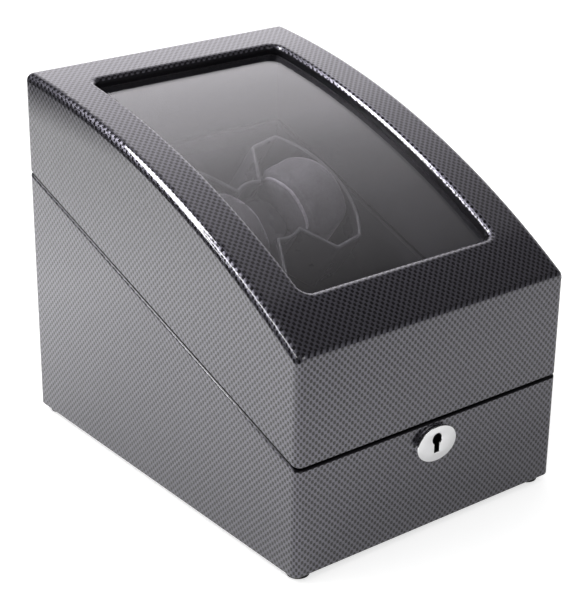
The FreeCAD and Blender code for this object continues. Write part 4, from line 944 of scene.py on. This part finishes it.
class WINDER_OT_hardware(bpy.types.Operator):
    """Finishes the lock, the hinges and the screws"""

    bl_idname = "winder.hardware"
    bl_label = "Lock and hinges"

    def execute(self, context):
        sizes, colours = context.scene.winder_sizes, context.scene.winder_colours
        chrome = polished_metal("polished_chrome", scaled(colours.chrome, 1.15), 0.05, 0.002 * MM)
        dress(chrome, "lock_strike")
        leaves = ["hinge_" + part + "_leaf_" + side for part in ("base", "lid") for side in ("left", "right")]
        dress(polished_metal("hinge_chrome_plate", scaled(colours.chrome, 0.93), 0.14, 0.006 * MM), *leaves)
        steel = polished_metal("bright_steel", colours.steel, 0.24, 0.01 * MM)
        dress(steel, "hinge_pin_left", "hinge_pin_right", "hinge_base_screws", "hinge_lid_screws",
              "lock_case", "lock_case_screws", "strike_screws", "lock_bolt", "jack_nut")
        black = polished_metal("blackened_steel", (0.035, 0.035, 0.038), 0.36, 0.01 * MM)
        dress(black, "bottom_screws", "foot_screws", "pane_frame_screws", "rotor_screw", "shaft_clip")
        self.lock(sizes, chrome, black)
        return {"FINISHED"}

    def lock(self, sizes, chrome, black):
        low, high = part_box("lock_escutcheon")
        wide, tall = (high.x - low.x) / 2.0, (high.z - low.z) / 2.0 + LOCK_TALLER
        level = Matrix.Translation((0.0, 0.0, (low.z + high.z) / 2.0))
        wall, front = -HALF_DEPTH, -HALF_DEPTH - sizes.lock_proud
        oval = [(x, y - LOCK_LOWER) for x, y in oval_outline(wide, tall)]
        plate = keyed_plate("lock_plate", oval, keyhole_outline(), front, wall, sizes.lock_round)
        plate.transform(level)
        nozzle = oval_outline(NOZZLE_RADIUS, NOZZLE_RADIUS)
        keyway = keyed_plate("lock_keyway", nozzle, keyhole_outline(KEYWAY_SKIN), front + KEYWAY_BACK,
                             wall + NOZZLE_LENGTH, 0.0)
        keyway.transform(level)
        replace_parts(new_piece("lock_plate", plate, chrome, "base"), "lock_escutcheon")
        new_piece("lock_keyway", keyway, black, "base")


# Faces of the tray this near to the rim's plane are the rim's flat top
RIM_FLAT = 0.02 * MM


def rim_line(node):
    """Points along the middle of a tray's wall, read from the flat top of its rim."""
    work = welded(NODES[node].data)
    work.transform(ROTOR.inverted())
    flat = {face for face in work.faces if all(abs(vertex.co.z) < RIM_FLAT for vertex in face.verts)}
    loose = [edge for edge in work.edges if sum(face in flat for face in edge.link_faces) == 1]
    loops = []
    while loose:
        edge = loose.pop()
        start, vertex = edge.verts
        loop = [start.co.copy()]
        while vertex != start:
            loop.append(vertex.co.copy())
            edge = next(other for other in vertex.link_edges if other in loose)
            loose.remove(edge)
            vertex = edge.other_vert(vertex)
        loops.append(loop)
    work.free()
    outer, inner = sorted(loops, key=lambda loop: -max(point.length for point in loop))
    return [(point + min(inner, key=lambda other: (other - point).length)) / 2.0 for point in outer]


class WINDER_OT_drive(bpy.types.Operator):
    """Finishes the turntable and the drive under it"""

    bl_idname = "winder.drive"
    bl_label = "Turntable and drive"

    def execute(self, context):
        colours = context.scene.winder_colours
        dress(moulded_plastic("satin_tray", colours.tray, 0.28, 0.008 * MM), "rotor_tray", "hub_cap")
        bead = tube("tray_bead", rim_line("rotor_tray"), context.scene.winder_sizes.rim_bead)
        bead.transform(ROTOR)
        # Painted highlight: the bead is a lighter plastic than the tray
        wear_and_highlight = moulded_plastic("highlight_bead", colours.bead, 0.4, 0.01 * MM)
        new_piece("tray_rim_bead", bead, wear_and_highlight, "rotor")
        dress(polished_metal("drive_steel", colours.steel, 0.28, 0.01 * MM), "rotor_shaft", "motor_plate",
              "plate_screws", "gearbox_screws", "motor_can")
        dress(turned_brass(colours), "upper_bush", "lower_bush", "plate_spacers", "motor_pinion")
        dress(natural_nylon(), "thrust_washer", "drive_gear", "board_posts")
        dress(moulded_plastic("gearbox_plastic", colours.plastic, 0.5, 0.05 * MM), "gearbox_case")
        dress(circuit_green(), "control_board")
        return {"FINISHED"}


# Numbers round the knob: which ones, their step, the first one's bearing, their reach and thickness
DIAL_DIGITS = "0123"
DIAL_STEP = math.radians(60.0)
DIAL_START = math.radians(180.0)
DIAL_REACH = 14.8 * MM
PRINT_LIFT = 0.03 * MM

# Ribs of the knob: how far they sink into it, their height, and how far below its top they end
RIB_SINK = 0.45 * MM
RIB_HEIGHT = 8.2 * MM
RIB_BELOW = 1.4 * MM


def digit_mesh(text, height):
    curve = fitted(bpy.data.curves.new("digit_" + text, "FONT"), body=text, size=height,
                   align_x="CENTER", align_y="CENTER", extrude=PRINT_LIFT / 2.0)
    return curve_mesh(curve)


class WINDER_OT_controls(bpy.types.Operator):
    """Finishes the control plate, the knob with its ribs and numbers, the switch and the inlet"""

    bl_idname = "winder.controls"
    bl_label = "Controls"

    def execute(self, context):
        sizes, colours = context.scene.winder_sizes, context.scene.winder_colours
        satin = moulded_plastic("control_plastic", colours.plastic, 0.4, 0.03 * MM)
        dress(brushed_plate(colours), "control_plate")
        dress(satin, "switch_body", "rocker_frame", "dc_jack", "mode_knob", "power_rocker")
        self.dial(sizes, printed_white(colours))
        self.grip(sizes, satin)
        return {"FINISHED"}

    def dial(self, sizes, white):
        middle = Vector(JOINTS["mode_turn"]["pos_m"])
        for step, text in enumerate(DIAL_DIGITS):
            turn = DIAL_START - DIAL_STEP * step
            mesh = digit_mesh(text, sizes.digit_height)
            spot = middle + Vector((math.cos(turn), math.sin(turn), 0.0)) * DIAL_REACH
            mesh.transform(Matrix.Translation(spot))
            new_piece("dial_digit_" + text, mesh, white, "base")

    def grip(self, sizes, satin):
        low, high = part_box("mode_knob")
        axis = Vector(JOINTS["mode_turn"]["pos_m"])
        reach = (high.x - low.x) / 2.0 - RIB_SINK
        level = high.z - RIB_BELOW - RIB_HEIGHT / 2.0
        ring = oval_outline(reach, reach, sizes.grip_ribs)
        spots = bpy.data.meshes.new("rib_spots")
        spots.from_pydata([(axis.x + x, axis.y + y, level) for x, y in ring], [], [])
        numbers = {"Radius": sizes.grip_rib_radius, "Height": RIB_HEIGHT}
        ribs = rib_tree(satin).grow("grip_ribs", spots, numbers)
        new_piece("knob_ribs", ribs, satin, "knob")


# Studio levels: all-round light, the mirrored panel and how it fades across and from the back to overhead
WHITE = (1.0, 1.0, 1.0)
SOFT_LEVEL = 0.58
PANEL_LEVEL = 1.55
MIRROR_DARK = 0.03
PANEL_TINT = (0.985, 0.96, 1.0)
PANEL_GLOW = ((0.20, 0.015), (0.25, 0.14), (0.40, 0.28), (0.60, 0.575), (0.70, 0.85), (0.86, 1.0))
PANEL_ACROSS = (0.10, 0.45)
PANEL_ALONG = (-0.2, 0.8)

# Floor: its tone, its own light, and as mirrors see it a table with its left edge, a painted glow and a
# painted shadow that dims its middle near the box
FLOOR_TONE = (0.82, 0.82, 0.82)
FLOOR_HIDDEN = (0.04, 0.04, 0.04)
FLOOR_LIGHT = 0.6
TABLE_EDGE = (-0.35, -0.31)
TABLE_GLOW = 0.82
TABLE_LIT = (-0.3, 0.4)
NEAR_SHADOW = 0.55
NEAR_SHADOW_REACH = 0.16
FRONT_EASE = 0.05

# Softbox on the left, as bearings and heights in degrees seen from the lid's edge, and its reach
LID_EDGE = Vector((-0.073, -0.015, 0.147))
SOFTBOX_FACES = (((-20.0, 58.5), (-67.0, 72.0), (-65.0, 13.0)),
                 ((-66.0, 45.0), (-66.0, 37.0), (-92.0, 36.0), (-92.0, 41.0)))
SOFTBOX_REACH = 1.6
SOFTBOX_GLEAM = 1.9

# Fill lamp in front, and the width of the camera's sensor in millimetres
FILL_AT = Vector((0.3, -1.6, 0.9))
FILL_SIZE = (1.2, 0.8)
SENSOR_WIDTH = 36.0


class WINDER_OT_stage(bpy.types.Operator):
    """Sets the camera, the floor, the surroundings and the lamps"""

    bl_idname = "winder.stage"
    bl_label = "Stage"

    def execute(self, context):
        stage = context.scene.winder_stage
        context.scene.view_settings.view_transform = "Standard"
        self.camera(context.scene, stage)
        self.floor(stage)
        self.surroundings(context.scene)
        self.softbox(stage)
        self.fill(stage)
        return {"FINISHED"}

    def camera(self, scene, stage):
        lens = fitted(bpy.data.cameras.new("camera"), lens=stage.lens, sensor_width=SENSOR_WIDTH)
        holder = new_object("camera", lens)
        back = Vector(stage.camera_back).normalized()
        right = Vector((0.0, 0.0, 1.0)).cross(back).normalized()
        up = back.cross(right)
        rolled = right * math.cos(stage.camera_roll) + up * math.sin(stage.camera_roll)
        holder.matrix_world = placed(Vector(stage.camera_at), rolled, back)
        scene.camera = holder

    def floor(self, stage):
        half = stage.floor_size / 2.0
        mesh = bpy.data.meshes.new("floor")
        mesh.from_pydata([(-half, -half, 0.0), (half, -half, 0.0), (half, half, 0.0), (-half, half, 0.0)],
                         [], [(0, 1, 2, 3)])
        f = Finish("pale_floor", FLOOR_TONE, 0.6, Specular_IOR_Level=0.2, Emission_Color=WHITE)
        rays = f.node("LightPath").outputs
        x, y, _ = f.split(f.place())
        table = f.spread(x, 0.0, 1.0, *TABLE_EDGE)
        # Painted glow: to mirrors the floor glows, more towards the back left
        painted_light = f.spread(f.minus(y, x), 0.0, TABLE_GLOW, *TABLE_LIT)
        mirrored = f.times(rays["Is Glossy Ray"], f.times(painted_light, table))
        # Painted shadow: to mirrors the floor is darker near the box, lightening over a short reach
        gap = f.math("MAXIMUM", f.minus(f.absolute(x), CAD_BOX[1].x),
                     f.minus(f.absolute(y), CAD_BOX[1].y - FRONT_EASE))
        shown = f.times(table, f.spread(gap, NEAR_SHADOW, 1.0, 0.0, NEAR_SHADOW_REACH))
        hidden = f.times(rays["Is Glossy Ray"], f.minus(1.0, shown))
        f.put(Base_Color=f.shades(hidden, (0.0, FLOOR_TONE), (1.0, FLOOR_HIDDEN)),
              Emission_Strength=f.math("MULTIPLY_ADD", rays["Is Camera Ray"], FLOOR_LIGHT, mirrored))
        f.swap(f.node("NewGeometry").outputs["Backfacing"], f.node("BsdfTransparent"))
        mesh.materials.append(f.material)
        new_object("floor", mesh)

    def surroundings(self, scene):
        """White to the camera; mirrored, a bright panel behind on the right that fades overhead."""
        world = fitted(bpy.data.worlds.new("studio"), use_nodes=True)
        scene.world = world
        f = Nodes(world.node_tree)
        rays = f.node("LightPath").outputs
        x, y, _ = f.split(f.node("TexCoord").outputs["Generated"])
        side = f.spread(x, 0.0, 1.0, *PANEL_ACROSS)
        stops = [(at, (level,) * 3) for at, level in PANEL_GLOW]
        panel = f.shades(f.spread(y, 0.0, 1.0, *PANEL_ALONG), *stops)
        glow = f.math("MULTIPLY_ADD", f.times(panel, side), PANEL_LEVEL, MIRROR_DARK)
        mirrored = f.math("MAXIMUM", rays["Is Glossy Ray"], rays["Is Transmission Ray"])
        unseen = f.pick(mirrored, SOFT_LEVEL, glow)
        sky = world.node_tree.nodes["Background"]
        f.feed(sky.inputs["Color"], f.blend(mirrored, WHITE, PANEL_TINT))
        f.feed(sky.inputs["Strength"], f.pick(rays["Is Camera Ray"], unseen, 1.0))

    def softbox(self, stage):
        """A bright sheet on the left that tapers towards the back, with a thin strip at its front."""
        corners = []
        faces = []
        for face in SOFTBOX_FACES:
            faces.append(tuple(range(len(corners), len(corners) + len(face))))
            for bearing, height in face:
                turn, rise = math.radians(bearing), math.radians(height)
                level = math.cos(rise)
                way = Vector((math.sin(turn) * level, math.cos(turn) * level, math.sin(rise)))
                corners.append(LID_EDGE + way * SOFTBOX_REACH)
        mesh = bpy.data.meshes.new("key_softbox")
        mesh.from_pydata(corners, [], faces)
        f = Finish("softbox_cloth", (0.8, 0.8, 0.8), 1.0, Emission_Color=WHITE)
        mirrored = f.node("LightPath").outputs["Is Glossy Ray"]
        f.put(Emission_Strength=f.pick(mirrored, stage.key_level, stage.key_level * SOFTBOX_GLEAM))
        mesh.materials.append(f.material)
        sheet = new_object("key_softbox", mesh)
        sheet.visible_camera = False

    def fill(self, stage):
        lamp = fitted(bpy.data.lights.new("front_fill", "AREA"), shape="ELLIPSE", size=FILL_SIZE[0],
                      size_y=FILL_SIZE[1], energy=stage.fill_power)
        middle = (CAD_BOX[0] + CAD_BOX[1]) / 2.0
        holder = fitted(new_object("front_fill", lamp), location=FILL_AT)
        holder.rotation_euler = (FILL_AT - middle).to_track_quat("Z", "Y").to_euler()


OPERATORS = (WINDER_OT_stage, WINDER_OT_case, WINDER_OT_hardware, WINDER_OT_drive, WINDER_OT_controls,
             WINDER_OT_pillows)
GROUPS = {"winder_sizes": WinderSizes, "winder_colours": WinderColours, "winder_stage": WinderStage}


class WINDER_PT_panel(bpy.types.Panel):
    """Sizes, colours and steps of the winder box"""

    bl_idname = "WINDER_PT_panel"
    bl_label = "Watch Winder Box"
    bl_space_type = "VIEW_3D"
    bl_region_type = "UI"
    bl_category = "Winder"

    def draw(self, context):
        for operator in OPERATORS:
            self.layout.operator(operator.bl_idname)
        for name, group in GROUPS.items():
            box = self.layout.box()
            for value in group.__annotations__:
                box.prop(getattr(context.scene, name), value)


def register():
    for group in GROUPS.values():
        bpy.utils.register_class(group)
    for name, group in GROUPS.items():
        setattr(bpy.types.Scene, name, PointerProperty(type=group))
    for made in (*OPERATORS, WINDER_PT_panel):
        bpy.utils.register_class(made)


def unregister():
    for made in (WINDER_PT_panel, *reversed(OPERATORS)):
        bpy.utils.unregister_class(made)
    for name, group in GROUPS.items():
        delattr(bpy.types.Scene, name)
        bpy.utils.unregister_class(group)


def main():
    register()
    bpy.ops.winder.stage()
    bpy.ops.winder.case()
    bpy.ops.winder.hardware()
    bpy.ops.winder.drive()
    bpy.ops.winder.controls()
    bpy.ops.winder.pillows()


if __name__ == "__main__":
    main()
